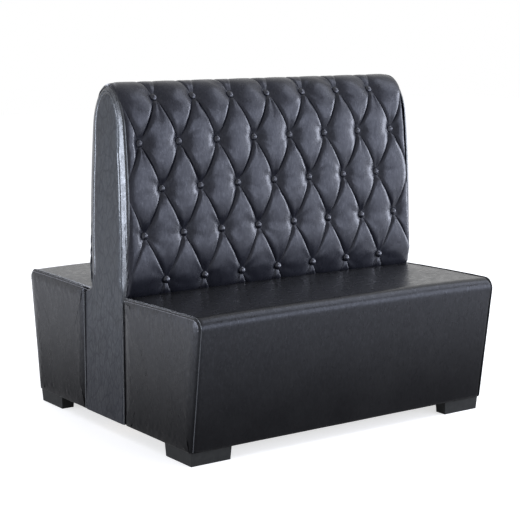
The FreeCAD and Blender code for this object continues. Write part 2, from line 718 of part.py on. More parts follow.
# The padded back. Its creases lie on an outline from the top middle down to the seat. The tufts
# swell out from it, and every layer under the cover follows it at an inset.
CREASE_SHARES = ((0, 1), (0.336, 0.9785), (0.533, 0.923), (0.634, 0.834), (0.698, 0.744),
                 (0.808, 0.519), (0.911, 0.292), (0.971, 0.147), (1, 0))
END_SHARES = ((0, 1), (0.2, 0.994), (0.385, 0.972), (0.677, 0.895), (0.808, 0.817),
              (0.927, 0.585), (0.988, 0.345), (0.992, 0.18), (0.892, 0))
TUFT_SHARES = (0.95, 1.0, 1.1, 1.05, 0.85, 0.5, 0.3)
BUTTON_ROWS = (1, 2, 3, 4, 5)
EDGE_SHARE = 0.85
SECTIONS = 5


def layer_edges(shares, depth, low, high, inset, across=0, start_depth=0):
    """Arcs of an outline at an inset, from the top middle down."""
    points = [Vector(across, -wide * depth, low + tall * (high - low)) for wide, tall in shares]
    moved = []
    for index, point in enumerate(points):
        before = points[max(index - 1, 0)]
        after = points[min(index + 1, len(points) - 1)]
        outward = (after - before).cross(Vector(1, 0, 0)).normalize()
        if index == 0:
            outward = Z_AXIS
        if index == len(points) - 1:
            outward = Vector(0, -1, 0)
        moved.append(point - outward * inset)
    moved[0].y = -start_depth
    return [Part.Arc(*moved[start:start + 3]).toShape() for start in range(0, len(moved) - 1, 2)]


def crease_edges(inset):
    """The outline of the creases at an inset."""
    return layer_edges(CREASE_SHARES, mm["crease_depth"] / 2, mm["back_bottom"],
                       mm["back_height"], inset, start_depth=mm["fit_gap"] / 2)


def layer(outer, inner):
    """A padded layer of the back between two insets, along the whole tufted width."""
    far = crease_edges(outer)
    near = crease_edges(inner)
    far_top, far_foot = ends_of(far)
    near_top, near_foot = ends_of(near)
    edges = far + near + [line(far_foot, near_foot), line(near_top, far_top)]
    face = Part.Face(Part.Wire(Part.__sortEdges__(edges)))
    half = tuft_half() - mm["fit_gap"]
    face.translate(Vector(-half, 0, 0))
    return face.extrude(Vector(2 * half, 0, 0))


def spot(distance):
    """Point and outward direction on the crease outline, at a distance from the top middle."""
    for edge in crease_edges(0):
        if distance <= edge.Length:
            break
        distance -= edge.Length
    parameter = edge.getParameterByLength(min(max(distance, 0), edge.Length))
    outward = edge.tangentAt(parameter).cross(Vector(1, 0, 0)).normalize()
    return edge.valueAt(parameter), outward


def outline_length():
    """Length of the crease outline from the top middle to the seat."""
    return sum(edge.Length for edge in crease_edges(0))


def row_distance(row):
    """Distance of a row of buttons from the top middle. Rows 0 and 6 lie beyond the cover."""
    return mm["first_row"] + (row - 1) * mm["row_pitch"]


def columns(row):
    """Places of the buttons of a row along the booth, in pitches: one more in even rows."""
    count = int(2 * tuft_half() // mm["tuft_pitch"]) + 1 - row % 2
    return [index - (count - 1) / 2 for index in range(count)]


def crease_feet(row, fall):
    """Places of the creases across the booth, at a share of the way from a row to the next one.

    Each button of a row sends two creases to the next row, and they run straight. The next row's
    end buttons send theirs out to the seam, where a crease is clamped just inside the cover.
    """
    away = mm["crease_width"] / 2 + (mm["tuft_pitch"] / 2 - mm["crease_width"]) * fall
    edge = tuft_half() - mm["fit_gap"] - mm["crease_width"]
    starts = columns(row)
    if len(columns(row + 1)) > len(starts):
        starts = [starts[0] - 1] + starts + [starts[-1] + 1]
    feet = []
    for start in starts:
        for way in (-1, 1):
            foot_x = start * mm["tuft_pitch"] + way * away
            beyond = abs(start * mm["tuft_pitch"]) > edge and way * start > 0
            if not beyond:
                feet.append(min(max(foot_x, -edge), edge))
    return feet


def crease_rise(foot_x, rise):
    """Height of a crease: none between the buttons, and rising from the last one to the seam."""
    last = (len(columns(0)) - 1) / 2 * mm["tuft_pitch"]
    edge = tuft_half()
    return EDGE_SHARE * rise * max(0, abs(foot_x) - last) / (edge - last)


def tuft_section(row, fall):
    """Closed outline across all tufts, at a share of the way from a row to the next one."""
    base, outward = spot(row_distance(row) + fall * mm["row_pitch"])
    rise = mm["tuft_rise"] * (TUFT_SHARES[row] * (1 - fall) + TUFT_SHARES[row + 1] * fall)
    edge = tuft_half() - mm["fit_gap"]
    feet = [(foot_x, crease_rise(foot_x, rise)) for foot_x in
            [-edge] + crease_feet(row, fall) + [edge]]

    def raised(across, height):
        return Vector(across, base.y, base.z) + outward * height

    edges = []
    for (left, left_rise), (right, right_rise) in zip(feet, feet[1:]):
        wide = (right - left) / mm["tuft_pitch"]
        mean = (left_rise + right_rise) / 2
        crown = mean + (rise - mean) * wide * (2 - wide)
        edges.append(Part.Arc(raised(left, left_rise), raised((left + right) / 2, crown),
                              raised(right, right_rise)).toShape())
    sunk = -mm["tuft_backing"]
    corners = [raised(*feet[-1]), raised(edge, sunk), raised(-edge, sunk), raised(*feet[0])]
    edges += [line(begin, end) for begin, end in zip(corners, corners[1:])]
    return Part.Wire(edges)


def tufted_cover():
    """Stuffed cover: one loft through the tufts from each row of creases to the next."""
    bands = []
    total = outline_length()
    for row in range(len(TUFT_SHARES) - 1):
        first = max(0, -row_distance(row) / mm["row_pitch"])
        last = min(1, (total - row_distance(row)) / mm["row_pitch"])
        wires = [tuft_section(row, first + (last - first) * step / (SECTIONS - 1))
                 for step in range(SECTIONS)]
        bands.append(Part.makeLoft(wires, True, False))
    return bands[0].fuse(bands[1:])


def button_spots():
    """Place across, point and outward direction of each button."""
    spots = []
    for row in BUTTON_ROWS:
        base, outward = spot(row_distance(row))
        for place_share in columns(row):
            across = place_share * mm["tuft_pitch"]
            spots.append((Vector(across, base.y, base.z), outward))
    return spots


def at_buttons(shape_at):
    """One solid for each button, gathered."""
    return Part.makeCompound([shape_at(point, outward) for point, outward in button_spots()])


def button(point, outward):
    """A domed covered button that sits in its dimple."""
    half = mm["button_width"] / 2
    rim = mm["button_rim"]
    crest = rim + mm["button_dome"]
    ball = (half ** 2 + mm["button_dome"] ** 2) / (2 * mm["button_dome"])
    between = Vector(half / 2, 0, crest - ball + math.sqrt(ball ** 2 - half ** 2 / 4))
    foot = Vector(0, 0, 0)
    outline = Part.Wire([line(foot, Vector(half, 0, 0)), line(Vector(half, 0, 0),
                                                             Vector(half, 0, rim)),
                         Part.Arc(Vector(half, 0, rim), between,
                                  Vector(0, 0, crest)).toShape(),
                         line(Vector(0, 0, crest), foot)])
    solid = Part.Face(outline).revolve(foot, Z_AXIS, 360)
    solid.Placement = Placement(point + outward * mm["fit_gap"], Rotation(Z_AXIS, outward))
    return solid


def well(point, outward):
    """The dimple round a button."""
    return Part.makeCylinder(mm["button_width"] / 2 + mm["fit_gap"], 2 * mm["tuft_rise"],
                             point, outward)


def twine_depth():
    """Depth of the end of the button twine under the creases."""
    return (mm["tuft_backing"] + mm["back_foam"] + mm["facing"] + 2 * mm["fit_gap"]
            + mm["twine_tail"])


def twine(point, outward):
    """Twine from a button through the padding to the back of the facing."""
    return Part.makeCylinder(mm["twine"] / 2, twine_depth() + mm["fit_gap"],
                             point + outward * mm["fit_gap"], -outward)


def twine_drill(point, outward):
    """The hole that the twine passes through."""
    return Part.makeCylinder(mm["twine"] / 2 + mm["fit_gap"], twine_depth() + mm["tuft_rise"],
                             point + outward * mm["tuft_rise"], -outward)


def padded_back():
    """Facing, foam, buttoned cover and buttons on both sides of the back."""
    drills = at_buttons(twine_drill)
    inset = mm["tuft_backing"] + mm["fit_gap"]
    under = inset + mm["back_foam"] + mm["fit_gap"]
    shapes = {"tufted_cover": tufted_cover().cut([at_buttons(well), drills]),
              "back_foam": layer(inset, inset + mm["back_foam"]).cut(drills),
              "back_facing": layer(under, under + mm["facing"]).cut(drills),
              "buttons": at_buttons(button)}
    for label, shape in shapes.items():
        for side in (FRONT, REAR):
            form(f"{label}_{side}", shape, side)


def button_twine():
    """The twine of all buttons on both sides."""
    front = at_buttons(twine)
    rear = front.copy()
    rear.Placement = Placement(Vector(), Rotation(Z_AXIS, HALF_TURN))
    form("button_twine", Part.makeCompound(front.Solids + rear.Solids))


# End panels of the back. Each is one dished cover from the top to the base, over its padding.
def end_panel(inset, rim_gap):
    """An end panel's solid at an inset under its face, from its open side to its leaning face."""
    rim = tuft_half() + rim_gap
    face = mm["overall_width"] / 2
    bottom = mm["foot_height"] + inset
    low = mm["back_bottom"] + inset
    neck = mm["back_bottom"] - inset
    front = layer_edges(END_SHARES, mm["back_thickness"] / 2, low, mm["end_top"], inset, rim)
    foot = ends_of(front)[1]
    strip = mm["near_seam"] - mm["seam_gap"] / 2 - inset
    ledge = [line(foot, at(rim, strip, low)), line(at(rim, strip, low), at(rim, strip, bottom))]
    flank = front[1:] + ledge
    rear_flank = [edge.mirror(Vector(), Vector(0, 1, 0)) for edge in flank]
    top, turn = ends_of(front[:1])
    crown = Part.Arc(turn, top, Vector(turn.x, -turn.y, turn.z)).toShape()
    base = line(at(rim, strip, bottom), at(rim, -strip, bottom))
    across = Vector(face - inset - rim, 0, 0)
    outline = Part.Wire(Part.__sortEdges__([crown, base] + flank + rear_flank))
    trunk = Part.Face(outline).extrude(across)
    far = mm["far_seam"] - mm["seam_gap"] / 2 - inset
    corners = [at(rim, 0, bottom), at(rim, -far, bottom),
               at(rim, -far, mm["gable_shoulder"] - inset), at(rim, foot.y, neck),
               at(rim, 0, neck)]
    wing = Part.Face(Part.makePolygon(corners + corners[:1])).extrude(across)
    panel = trunk.fuse(wing).removeSplitter()
    rim_edges = [edge for edge in panel.Edges
                 if all(vertex.X > face - inset - mm["fit_gap"] for vertex in edge.Vertexes)]
    panel = panel.makeFillet(mm["panel_rounding"] - inset, rim_edges)
    lean = math.degrees(math.atan(mm["end_lean"] / (mm["end_top"] - mm["foot_height"])))
    panel.rotate(Vector(face, 0, mm["foot_height"]), Vector(0, 1, 0), -lean)
    over = mm["overall_width"]
    inner = Part.makeBox(over, 2 * over, 2 * over, Vector(rim - over, -over, 0))
    shelf = face - mm["end_padding"] + rim_gap
    under = Part.makeBox(over, over, low, Vector(shelf - over, strip, 0))
    return panel.cut([inner, under]).Solids[0]


def back_ends():
    """Dished end covers of the back and the padding that fills them."""
    skin = mm["leather"]
    cover = end_panel(0, 0).cut(end_panel(skin, -skin))
    filling = end_panel(skin + mm["fit_gap"], mm["fit_gap"])
    for hand, mirrored in (("left", True), ("right", False)):
        form(f"back_end_cover_{hand}", to_left(cover) if mirrored else cover)
        form(f"back_end_padding_{hand}", to_left(filling) if mirrored else filling)


def build():
    """Make every sub-part."""
    for side, seam_name in ((FRONT, "near_seam"), (REAR, "far_seam")):
        seat_frame(side)
        suspension(side)
        seat_cushion(side)
        seat_ends(side, seam_name)
        dust_cover(side)
    padded_back()
    spring_clips()
    for name, angle in CORNERS:
        foot(name, angle)
    corner_blocks()
    foot_screws()
    coach_screws()
    for hand in ("left", "right"):
        gable(hand)
    back_frame()
    button_twine()
    back_ends()


def check():
    """Stop if any object failed or any sub-part is not a sound solid."""
    doc.recompute()
    for piece in doc.Objects:
        if "Invalid" in piece.State or "Error" in piece.State:
            raise RuntimeError(f"{piece.Label} failed: {piece.State}")
    for piece in nodes:
        shape = piece.Shape
        if shape.isNull() or not shape.isValid() or not shape.Solids or shape.Volume <= 0:
            raise RuntimeError(f"{piece.Label} is not a sound solid")


build()
check()
os.makedirs("parts", exist_ok=True)
for piece in nodes:
    piece.Shape.exportStep(f"parts/{piece.Label}.step")
print(len(nodes), "sub-parts")
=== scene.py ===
"""Looks of the double-sided booth seat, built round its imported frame. Lengths are metres.

X runs along the seats, Z is up and the front seat faces -Y. The rear seat is the front one after
half a turn about Z.
"""
import json
import math

import bmesh
import bpy
import numpy as np
from mathutils import Matrix, Vector, noise

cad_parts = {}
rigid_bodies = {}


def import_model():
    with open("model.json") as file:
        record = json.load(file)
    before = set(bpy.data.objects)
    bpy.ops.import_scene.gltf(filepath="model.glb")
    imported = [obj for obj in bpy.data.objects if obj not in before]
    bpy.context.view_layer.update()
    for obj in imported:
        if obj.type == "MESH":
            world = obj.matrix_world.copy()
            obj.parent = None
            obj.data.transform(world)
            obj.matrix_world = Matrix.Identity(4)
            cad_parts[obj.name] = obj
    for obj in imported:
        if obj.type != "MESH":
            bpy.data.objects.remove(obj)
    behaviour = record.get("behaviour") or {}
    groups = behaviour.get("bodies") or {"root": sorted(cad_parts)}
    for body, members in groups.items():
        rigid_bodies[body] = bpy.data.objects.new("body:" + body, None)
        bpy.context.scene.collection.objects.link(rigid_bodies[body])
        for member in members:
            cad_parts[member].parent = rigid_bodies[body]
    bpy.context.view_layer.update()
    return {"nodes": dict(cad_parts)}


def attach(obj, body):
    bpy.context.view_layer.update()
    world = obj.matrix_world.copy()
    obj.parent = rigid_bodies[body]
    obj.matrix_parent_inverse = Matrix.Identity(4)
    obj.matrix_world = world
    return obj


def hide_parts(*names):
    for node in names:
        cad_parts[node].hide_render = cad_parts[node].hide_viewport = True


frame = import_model()
MM = 0.001

# The buttoned back: its outline at the buttons, and the grid of its creases.
TUFT_HALF = 585 * MM
SEAM_LEVEL = 600 * MM
END_FACE = 600 * MM
HEM = 45 * MM
LEAN = 12 / (1137 - 45)
BACK_LOW = 470 * MM
CREASE_TOP = 1118 * MM
CREASE_DEPTH = 122 * MM
CREASE_SHARES = ((0, 1), (0.336, 0.9785), (0.533, 0.923), (0.634, 0.834), (0.698, 0.744),
                 (0.808, 0.519), (0.911, 0.292), (0.971, 0.147), (1, 0))
FIRST_ROW = 60 * MM
ROW_PITCH = 147.3 * MM
TUFT_PITCH = 148.3 * MM
TUFT_RISE = 23 * MM
RISE_SHARES = (1.12, 1.0, 1.1, 1.05, 0.85, 0.55, 0.4)
EDGE_START = 533 * MM
EDGE_WALL = 12 * MM
TUCK = 16 * MM
EDGE_LEVEL = 0.12
EDGE_LIFT = 2 * MM
TOP_EDGE_LEVEL = 0.75
BOTTOM_TURN = 55 * MM
BOTTOM_DROP = 10 * MM
CREASE_SPACING = 132.5 * MM
PLEAT_WIDTHS = (3.8 * MM, 5 * MM)
PLEAT_SHARE = 0.62
PUFF_SHARE = 0.12
DIMPLE_REACH = 17 * MM
DIMPLE_FLOOR = 12 * MM
FOLD_LIP = 1.5 * MM
WRINKLE_SHARE = 0.26
MIDDLE_SHARE = 0.85
WIDE_SHARE = 0.36
WIDE_REACH = 34 * MM
EDGE_GATHER = 0.6 * MM
CELL_STEPS = 26
BUTTON_WIDTH = 25 * MM
HALF_TURN = Matrix.Rotation(math.pi, 4, "Z")
TINY = 1e-6

# How a button gathers the cover: waves round it as share, folds and turns from button to button,
# and two wrinkles that spread below it.
PULL_WAVES = ((0.12, 7, 3, 5), (0.1, 11, 2, 0))
WIDE_POWER = 1.3
WRINKLE_MIDDLE = 26 * MM
WRINKLE_LENGTH = 13 * MM
WRINKLE_WIDTH = 3.4 * MM
WRINKLE_LEAN_SHARE = 0.03
WRINKLE_SPREAD_SHARE = 0.16

# How a tuft swells, and how the cover ends at its sides and its foot.
FADE_POWER = 0.6
PUFF_POWER = 0.55
SIDE_FILL_SHARE = 0.75
TOP_FILL_SHARE = 0.8
ROUNDING_SHARE = 0.999
EDGE_LIFT_SHARES = (0.3, 0.7)
GATHER_CROWDING = 12
GATHER_SIZE = 60 * MM
GATHER_SEED = 5
WALL_FALL_SHARE = 0.97
WALL_SLANT_SHARE = 0.25
TUCK_DROP = 11 * MM
TUCK_START = 4 * MM
LIP_WIDTH_SHARE = 0.035
LIP_ASIDE_SHARE = 0.89
LIP_ONWARD_SHARE = 0.45
CUT_REACH = MM / 10
MERGE_REACH = MM / 4


def smooth(low, high, value):
    """Smooth step from 0 at low to 1 at high, on numbers or arrays."""
    share = np.clip((value - low) / (high - low), 0, 1)
    return share * share * (3 - 2 * share)


def arc_points(start, middle, stop, count=40):
    """Points of the arc through three places of a plane."""
    (ax, ay), (bx, by), (cx, cy) = start, middle, stop
    cross = 2 * (ax * (by - cy) + bx * (cy - ay) + cx * (ay - by))
    a2, b2, c2 = ax * ax + ay * ay, bx * bx + by * by, cx * cx + cy * cy
    mid_x = (a2 * (by - cy) + b2 * (cy - ay) + c2 * (ay - by)) / cross
    mid_y = (a2 * (cx - bx) + b2 * (ax - cx) + c2 * (bx - ax)) / cross
    radius = math.hypot(ax - mid_x, ay - mid_y)
    first = math.atan2(ay - mid_y, ax - mid_x)
    turn = math.atan2(cy - mid_y, cx - mid_x) - first
    turn = (turn + math.pi) % (2 * math.pi) - math.pi
    angles = first + turn * np.linspace(0, 1, count)
    return np.column_stack((mid_x + radius * np.cos(angles), mid_y + radius * np.sin(angles)))


class Outline:
    """A smooth outline in depth and height, read by the distance along it."""

    def __init__(self, places):
        runs = [arc_points(*places[start:start + 3]) for start in range(0, len(places) - 1, 2)]
        points = np.vstack([runs[0]] + [run[1:] for run in runs[1:]])
        steps = np.hypot(*np.diff(points, axis=0).T)
        self.along = np.concatenate(([0], np.cumsum(steps)))
        self.points = points
        tangents = np.gradient(points, self.along, axis=0)
        tangents /= np.linalg.norm(tangents, axis=1)[:, None]
        self.tangents = tangents
        self.length = self.along[-1]

    def place(self, distance):
        """Depth and height at a distance, which may be past the end."""
        inside = np.clip(distance, 0, self.length)
        depth = np.interp(inside, self.along, self.points[:, 0])
        height = np.interp(inside, self.along, self.points[:, 1])
        way = self.way(distance)
        past = distance - inside
        return depth + past * way[0], height + past * way[1]

    def way(self, distance):
        """Direction along the outline, in depth and height."""
        inside = np.clip(distance, 0, self.length)
        depth = np.interp(inside, self.along, self.tangents[:, 0])
        height = np.interp(inside, self.along, self.tangents[:, 1])
        size = np.hypot(depth, height)
        return depth / size, height / size


creases = Outline([(wide * CREASE_DEPTH, BACK_LOW + tall * (CREASE_TOP - BACK_LOW))
                   for wide, tall in CREASE_SHARES])


def finished(bm, name, *nodes, slot="upholstery"):
    """The mesh as an object that rides on the booth and stands for the named nodes.

    Without a slot it is part of the studio.
    """
    mesh = bpy.data.meshes.new(name)
    bm.to_mesh(mesh)
    bm.free()
    mesh.polygons.foreach_set("use_smooth", [True] * len(mesh.polygons))
    piece = bpy.data.objects.new(name, mesh)
    bpy.context.scene.collection.objects.link(piece)
    if slot is None:
        return piece
    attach(piece, "root")
    if nodes:
        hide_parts(*nodes)
    return piece


def wander(across, along, height, size, seed):
    """Smooth noise between -1 and 1 on three coordinates, with features of a size."""
    return noise.noise(Vector((across / size + seed, along / size, height / size)))


# Tufted cover
def graded(share):
    """Share of a cell with the grid lines drawn together at its creases."""
    return 0.5 - 0.5 * np.cos(math.pi * share)


def flat_tufts():
    """A flat grid along the creases, trimmed to the cover: X across, Y the distance down."""
    low = math.floor(-TUFT_HALF / TUFT_PITCH) - 1
    high = math.ceil(TUFT_HALF / TUFT_PITCH + (creases.length - FIRST_ROW) / (2 * ROW_PITCH))
    cells = high - low
    steps = cells * CELL_STEPS
    bm = bmesh.new()
    bmesh.ops.create_grid(bm, x_segments=steps, y_segments=steps, size=0.5)
    for vert in bm.verts:
        grid = []
        for share in (vert.co.x + 0.5, vert.co.y + 0.5):
            step = round(share * steps)
            cell = min(step // CELL_STEPS, cells - 1)
            grid.append(low + cell + graded(step / CELL_STEPS - cell))
        vert.co = ((grid[0] - grid[1]) / 2 * TUFT_PITCH,
                   FIRST_ROW + (grid[0] + grid[1]) * ROW_PITCH, 0)
    side = TUFT_HALF + EDGE_WALL
    for point, outward in (((side, 0, 0), (1, 0, 0)), ((-side, 0, 0), (-1, 0, 0)),
                           ((0, 0, 0), (0, -1, 0)), ((0, creases.length + TUCK, 0), (0, 1, 0))):
        parts = bm.verts[:] + bm.edges[:] + bm.faces[:]
        bmesh.ops.bisect_plane(bm, geom=parts, dist=CUT_REACH, plane_co=point, plane_no=outward,
                               clear_outer=True)
    return bm


def pleat(share, start, stop):
    """Sharp fold at both ends of a cell, of two widths: 1 on the crease, 0 in the middle."""
    first = np.exp(-share * CREASE_SPACING / start)
    last = np.exp(-(1 - share) * CREASE_SPACING / stop)
    return np.maximum(first, last)


def dimples(first, second, u, v):
    """How far each place is drawn in by its nearest button, from 0 to 1, and the wrinkles below.

    first and second count the creases of the two ways, u and v are the shares of a cell.
    """
    deep = np.zeros_like(u)
    ridge = np.zeros_like(u)
    for lower_u in (0, 1):
        for lower_v in (0, 1):
            a, b = np.floor(first + TINY) + lower_u, np.floor(second + TINY) + lower_v
            button = (a - b) / 2 * TUFT_PITCH
            aside = ((u - lower_u) - (v - lower_v)) / 2 * TUFT_PITCH
            below = ((u - lower_u) + (v - lower_v)) * ROW_PITCH
            away = np.hypot(aside, below)
            there = np.abs(button) < TUFT_HALF - BUTTON_WIDTH
            around = np.arctan2(aside, below)
            pulls = 1
            for size, folds, turn_a, turn_b in PULL_WAVES:
                pulls = pulls + size * np.cos(folds * around + turn_a * a + turn_b * b)
            slope = np.maximum(away - DIMPLE_FLOOR, 0) / pulls
            pulled = (1 - WIDE_SHARE) * np.exp(-slope / DIMPLE_REACH)
            pulled += WIDE_SHARE * np.exp(-(slope / WIDE_REACH) ** WIDE_POWER)
            deep = np.maximum(deep, there * pulled)
            near = np.exp(-((away - WRINKLE_MIDDLE) / WRINKLE_LENGTH) ** 2)
            near = near * there * (below > 0)
            off = np.abs(aside - WRINKLE_LEAN_SHARE * below) - WRINKLE_SPREAD_SHARE * below
            ridge = np.maximum(ridge, near * np.exp(-(off / WRINKLE_WIDTH) ** 2))
    return deep, ridge


def tuft_surface(across, down):
    """Places on the tufted cover's front for places of the flat grid."""
    out = np.clip(np.abs(across), 0, TUFT_HALF)
    wall = np.abs(across) - out
    turn = (down - FIRST_ROW) / (2 * ROW_PITCH)
    first = across / TUFT_PITCH + turn
    second = -across / TUFT_PITCH + turn
    u = np.clip(first - np.floor(first + TINY), 0, 1)
    v = np.clip(second - np.floor(second + TINY), 0, 1)
    deep, ridge = dimples(first, second, u, v)
    along_u, along_v = np.sin(np.pi * u), np.sin(np.pi * v)
    fade_u = MIDDLE_SHARE + (1 - MIDDLE_SHARE) * (1 - along_v) ** FADE_POWER
    fade_v = MIDDLE_SHARE + (1 - MIDDLE_SHARE) * (1 - along_u) ** FADE_POWER
    puff = 1 - PUFF_SHARE * (1 - (along_u * along_v) ** PUFF_POWER)
    narrow, wide = PLEAT_WIDTHS
    fold_u = PLEAT_SHARE * pleat(u, wide, narrow) * fade_u
    fold_v = PLEAT_SHARE * pleat(v, narrow, wide) * fade_v
    shape = (1 - fold_u) * (1 - fold_v)
    shape = shape * puff * (1 - deep) + WRINKLE_SHARE * ridge
    rows = np.arange(len(RISE_SHARES))
    rise = TUFT_RISE * np.interp((down - FIRST_ROW) / ROW_PITCH + 1, rows, RISE_SHARES)
    side = smooth(EDGE_START, TUFT_HALF, out)
    top = 1 - smooth(0, FIRST_ROW, down)
    shape = shape + (1 - shape) * np.maximum(side * SIDE_FILL_SHARE, top * TOP_FILL_SHARE)
    fall = np.clip((out - EDGE_START) / (TUFT_HALF - EDGE_START), 0, 1)
    lowest = EDGE_LEVEL + (TOP_EDGE_LEVEL - EDGE_LEVEL) * (1 - smooth(0, 2 * FIRST_ROW, down))
    rounding = lowest + (1 - lowest) * np.sqrt(1 - fall ** 2 * ROUNDING_SHARE)
    height = rise * shape * rounding
    height -= BOTTOM_DROP * smooth(creases.length - BOTTOM_TURN, creases.length + MM, down)
    height += EDGE_LIFT * side * smooth(*EDGE_LIFT_SHARES, down / creases.length)
    gather = np.array([wander(place * GATHER_CROWDING, reach, 0, GATHER_SIZE, GATHER_SEED)
                       for place, reach in zip(down, across)])
    height -= wall * WALL_FALL_SHARE
    height -= TUCK_DROP * smooth(creases.length - TUCK_START, creases.length + TUCK, down)
    depth, level = creases.place(down)
    way = creases.way(down)
    fold = (1 - side) * (1 - top)
    lip_u, lip_v = (FOLD_LIP * np.exp(-((1 - share) / LIP_WIDTH_SHARE) ** 2) * (share < 1 - TINY)
                    * other ** FADE_POWER * fold for share, other in ((u, along_v), (v, along_u)))
    aside = LIP_ASIDE_SHARE * (lip_u - lip_v)
    onward = LIP_ONWARD_SHARE * (lip_u + lip_v)
    edge = WALL_SLANT_SHARE * wall + EDGE_GATHER * gather * smooth(0, EDGE_WALL / 3, wall)
    edge -= LEAN * (level - SEAM_LEVEL) * smooth(EDGE_START, TUFT_HALF, out)
    across = np.sign(across) * (out + edge) + aside
    out_depth = -way[1] * height + way[0] * onward
    out_level = way[0] * height + way[1] * onward
    return np.column_stack((across, -(depth + out_depth), level + out_level))


def tufted_cover():
    """The buttoned cover over both sides of the back, in one piece over the top."""
    bm = flat_tufts()
    flat = np.array([vert.co[:2] for vert in bm.verts])
    for vert, place in zip(bm.verts, tuft_surface(flat[:, 0], flat[:, 1])):
        vert.co = place
    front = bm.verts[:] + bm.edges[:] + bm.faces[:]
    rear = bmesh.ops.duplicate(bm, geom=front)["geom"]
    bmesh.ops.transform(bm, matrix=HALF_TURN, verts=[g for g in rear
                                                     if isinstance(g, bmesh.types.BMVert)])
    bmesh.ops.remove_doubles(bm, verts=bm.verts, dist=MERGE_REACH)
    bmesh.ops.recalc_face_normals(bm, faces=bm.faces)
    cover = finished(bm, "tufted_cover", "tufted_cover_front", "tufted_cover_rear",
                     "back_foam_front", "back_foam_rear")


# Camera and light
VIEW_AZIMUTH = math.radians(-35.42)
VIEW_ELEVATION = math.radians(9.49)
VIEW_TARGET = Vector((11.7 * MM, 0, 513.2 * MM))
VIEW_DISTANCE = 5149 * MM
PHOTO_SIZE = 520
FOCAL_PIXELS = 1484.6
SENSOR = 36.0
LAMP_COLOUR = (0.84, 0.88, 1.0)


def add_camera():
    """The camera where the photograph was taken from."""
    back = Vector((math.cos(VIEW_ELEVATION) * math.sin(VIEW_AZIMUTH),
                   -math.cos(VIEW_ELEVATION) * math.cos(VIEW_AZIMUTH),
                   math.sin(VIEW_ELEVATION)))
    data = bpy.data.cameras.new("photo_camera")
    data.sensor_width = SENSOR
    data.lens = SENSOR * FOCAL_PIXELS / PHOTO_SIZE
    camera = bpy.data.objects.new("photo_camera", data)
    camera.location = VIEW_TARGET + back * VIEW_DISTANCE
    camera.rotation_euler = (-back).to_track_quat("-Z", "Y").to_euler()
    bpy.context.scene.collection.objects.link(camera)
    bpy.context.scene.camera = camera


def add_lamp(name, place, target, width, height, power):
    """A soft rectangular lamp that points at a place."""
    data = bpy.data.lights.new(name, "AREA")
    data.shape = "RECTANGLE"
    data.size = width
    data.size_y = height
    data.energy = power
    data.color = LAMP_COLOUR
    lamp = bpy.data.objects.new(name, data)
    lamp.location = place
    lamp.rotation_euler = (Vector(target) - Vector(place)).to_track_quat("-Z", "Y").to_euler()
    bpy.context.scene.collection.objects.link(lamp)


# Finishes
BLUE_BLACK = ((0.0072, 0.0076, 0.0115), (0.0125, 0.0132, 0.0185))
NEUTRAL_BLACK = ((0.0068, 0.0066, 0.007), (0.0098, 0.0096, 0.01))
# Heights over which the painted reflection rises from its low share to the full specular level,
# painting shade low down.
PAINTED_SHEEN_LOW = 60 * MM
PAINTED_SHEEN_TOP = 560 * MM
SCUFF_WAYS = (1, 1, 0.35)

# Scale, detail, roughness and distortion of each cloud pattern of the upholstery.
TONES = (11, 5, 0.6)
RUBS = (46, 6, 0.62, 0.4)
SCUFFS = (190, 3, 0.7, 0.6)
WAVES = (13, 3)
WRINKLES = (150, 5, 0.6, 0.5)
PEBBLES = 900
RUB_RANGE = (0.3, 0.72)
RUB_SMOOTHER = 0.07
RUB_ROUGHER = 0.09
SCUFF_RANGE = (0.45, 0.72, 0.88, 1.5)
CRACK_STRENGTH = 0.5
WRINKLE_STRENGTH = 0.8
PEBBLE_STRENGTH = 0.7
CRACK_WIDTH = 0.12
PEBBLE_SMOOTHNESS = 0.4
DARK_AND_LIGHT = (0.3, 0.7)

# The other finishes: roughness, specular level, colours and pattern scales.
FOOT_ROUGHNESS = 0.65
FOOT_SPECULAR = 0.08
FOOT_COLOURS = ((0.02, 0.0205, 0.0205), (0.028, 0.0285, 0.028))
FOOT_MOTTLE = (60, 5)
FOOT_GRAIN = (700, 3)
FOOT_GRAIN_DEPTH = 0.08 * MM
WOOD_ROUGHNESS = 0.62
WOOD_SPECULAR = 0.3
WOOD_GRAIN = (3.4, 7, 0.6, 0.8)
ALONG_GRAIN = 2.2
ACROSS_GRAIN = 28
GRAIN_RANGE = (0.32, 0.68)
GRAIN_DEPTH = 0.3 * MM
GRAIN_STRENGTH = 0.6
FOAM_CELLS = 420
FOAM_COLOURS = ((0.62, 0.56, 0.36), (0.8, 0.74, 0.52))
CELL_DEPTH = 0.4 * MM
SOFT_ROUGHNESS = 0.9
SOFT_SPECULAR = 0.2
THREADS_TO_BAND = 6
THREAD_WAVER = 0.6
THREAD_DEPTH = 0.3 * MM
METAL_MARKS = (240, 4)
METAL_DARK_SHARE = 0.75
METAL_SMOOTHER = 0.08
METAL_ROUGHER = 0.1
THREAD_COLOUR = (0.3, 0.3, 0.33, 1)


def new_finish(name, roughness, specular=0.5, tint=(1, 1, 1)):
    """A material with its shader ready, and its node tree."""
    material = bpy.data.materials.new(name)
    material.use_nodes = True
    shader = material.node_tree.nodes["Principled BSDF"]
    shader.inputs["Roughness"].default_value = roughness
    shader.inputs["Specular IOR Level"].default_value = specular
    shader.inputs["Specular Tint"].default_value = (*tint, 1)
    return material, material.node_tree, shader


def place_socket(tree, stretch=(1, 1, 1)):
    """The place on the piece, stretched along the axes."""
    where = tree.nodes.new("ShaderNodeTexCoord")
    mapping = tree.nodes.new("ShaderNodeMapping")
    mapping.inputs["Scale"].default_value = stretch
    tree.links.new(where.outputs["Object"], mapping.inputs["Vector"])
    return mapping.outputs["Vector"]


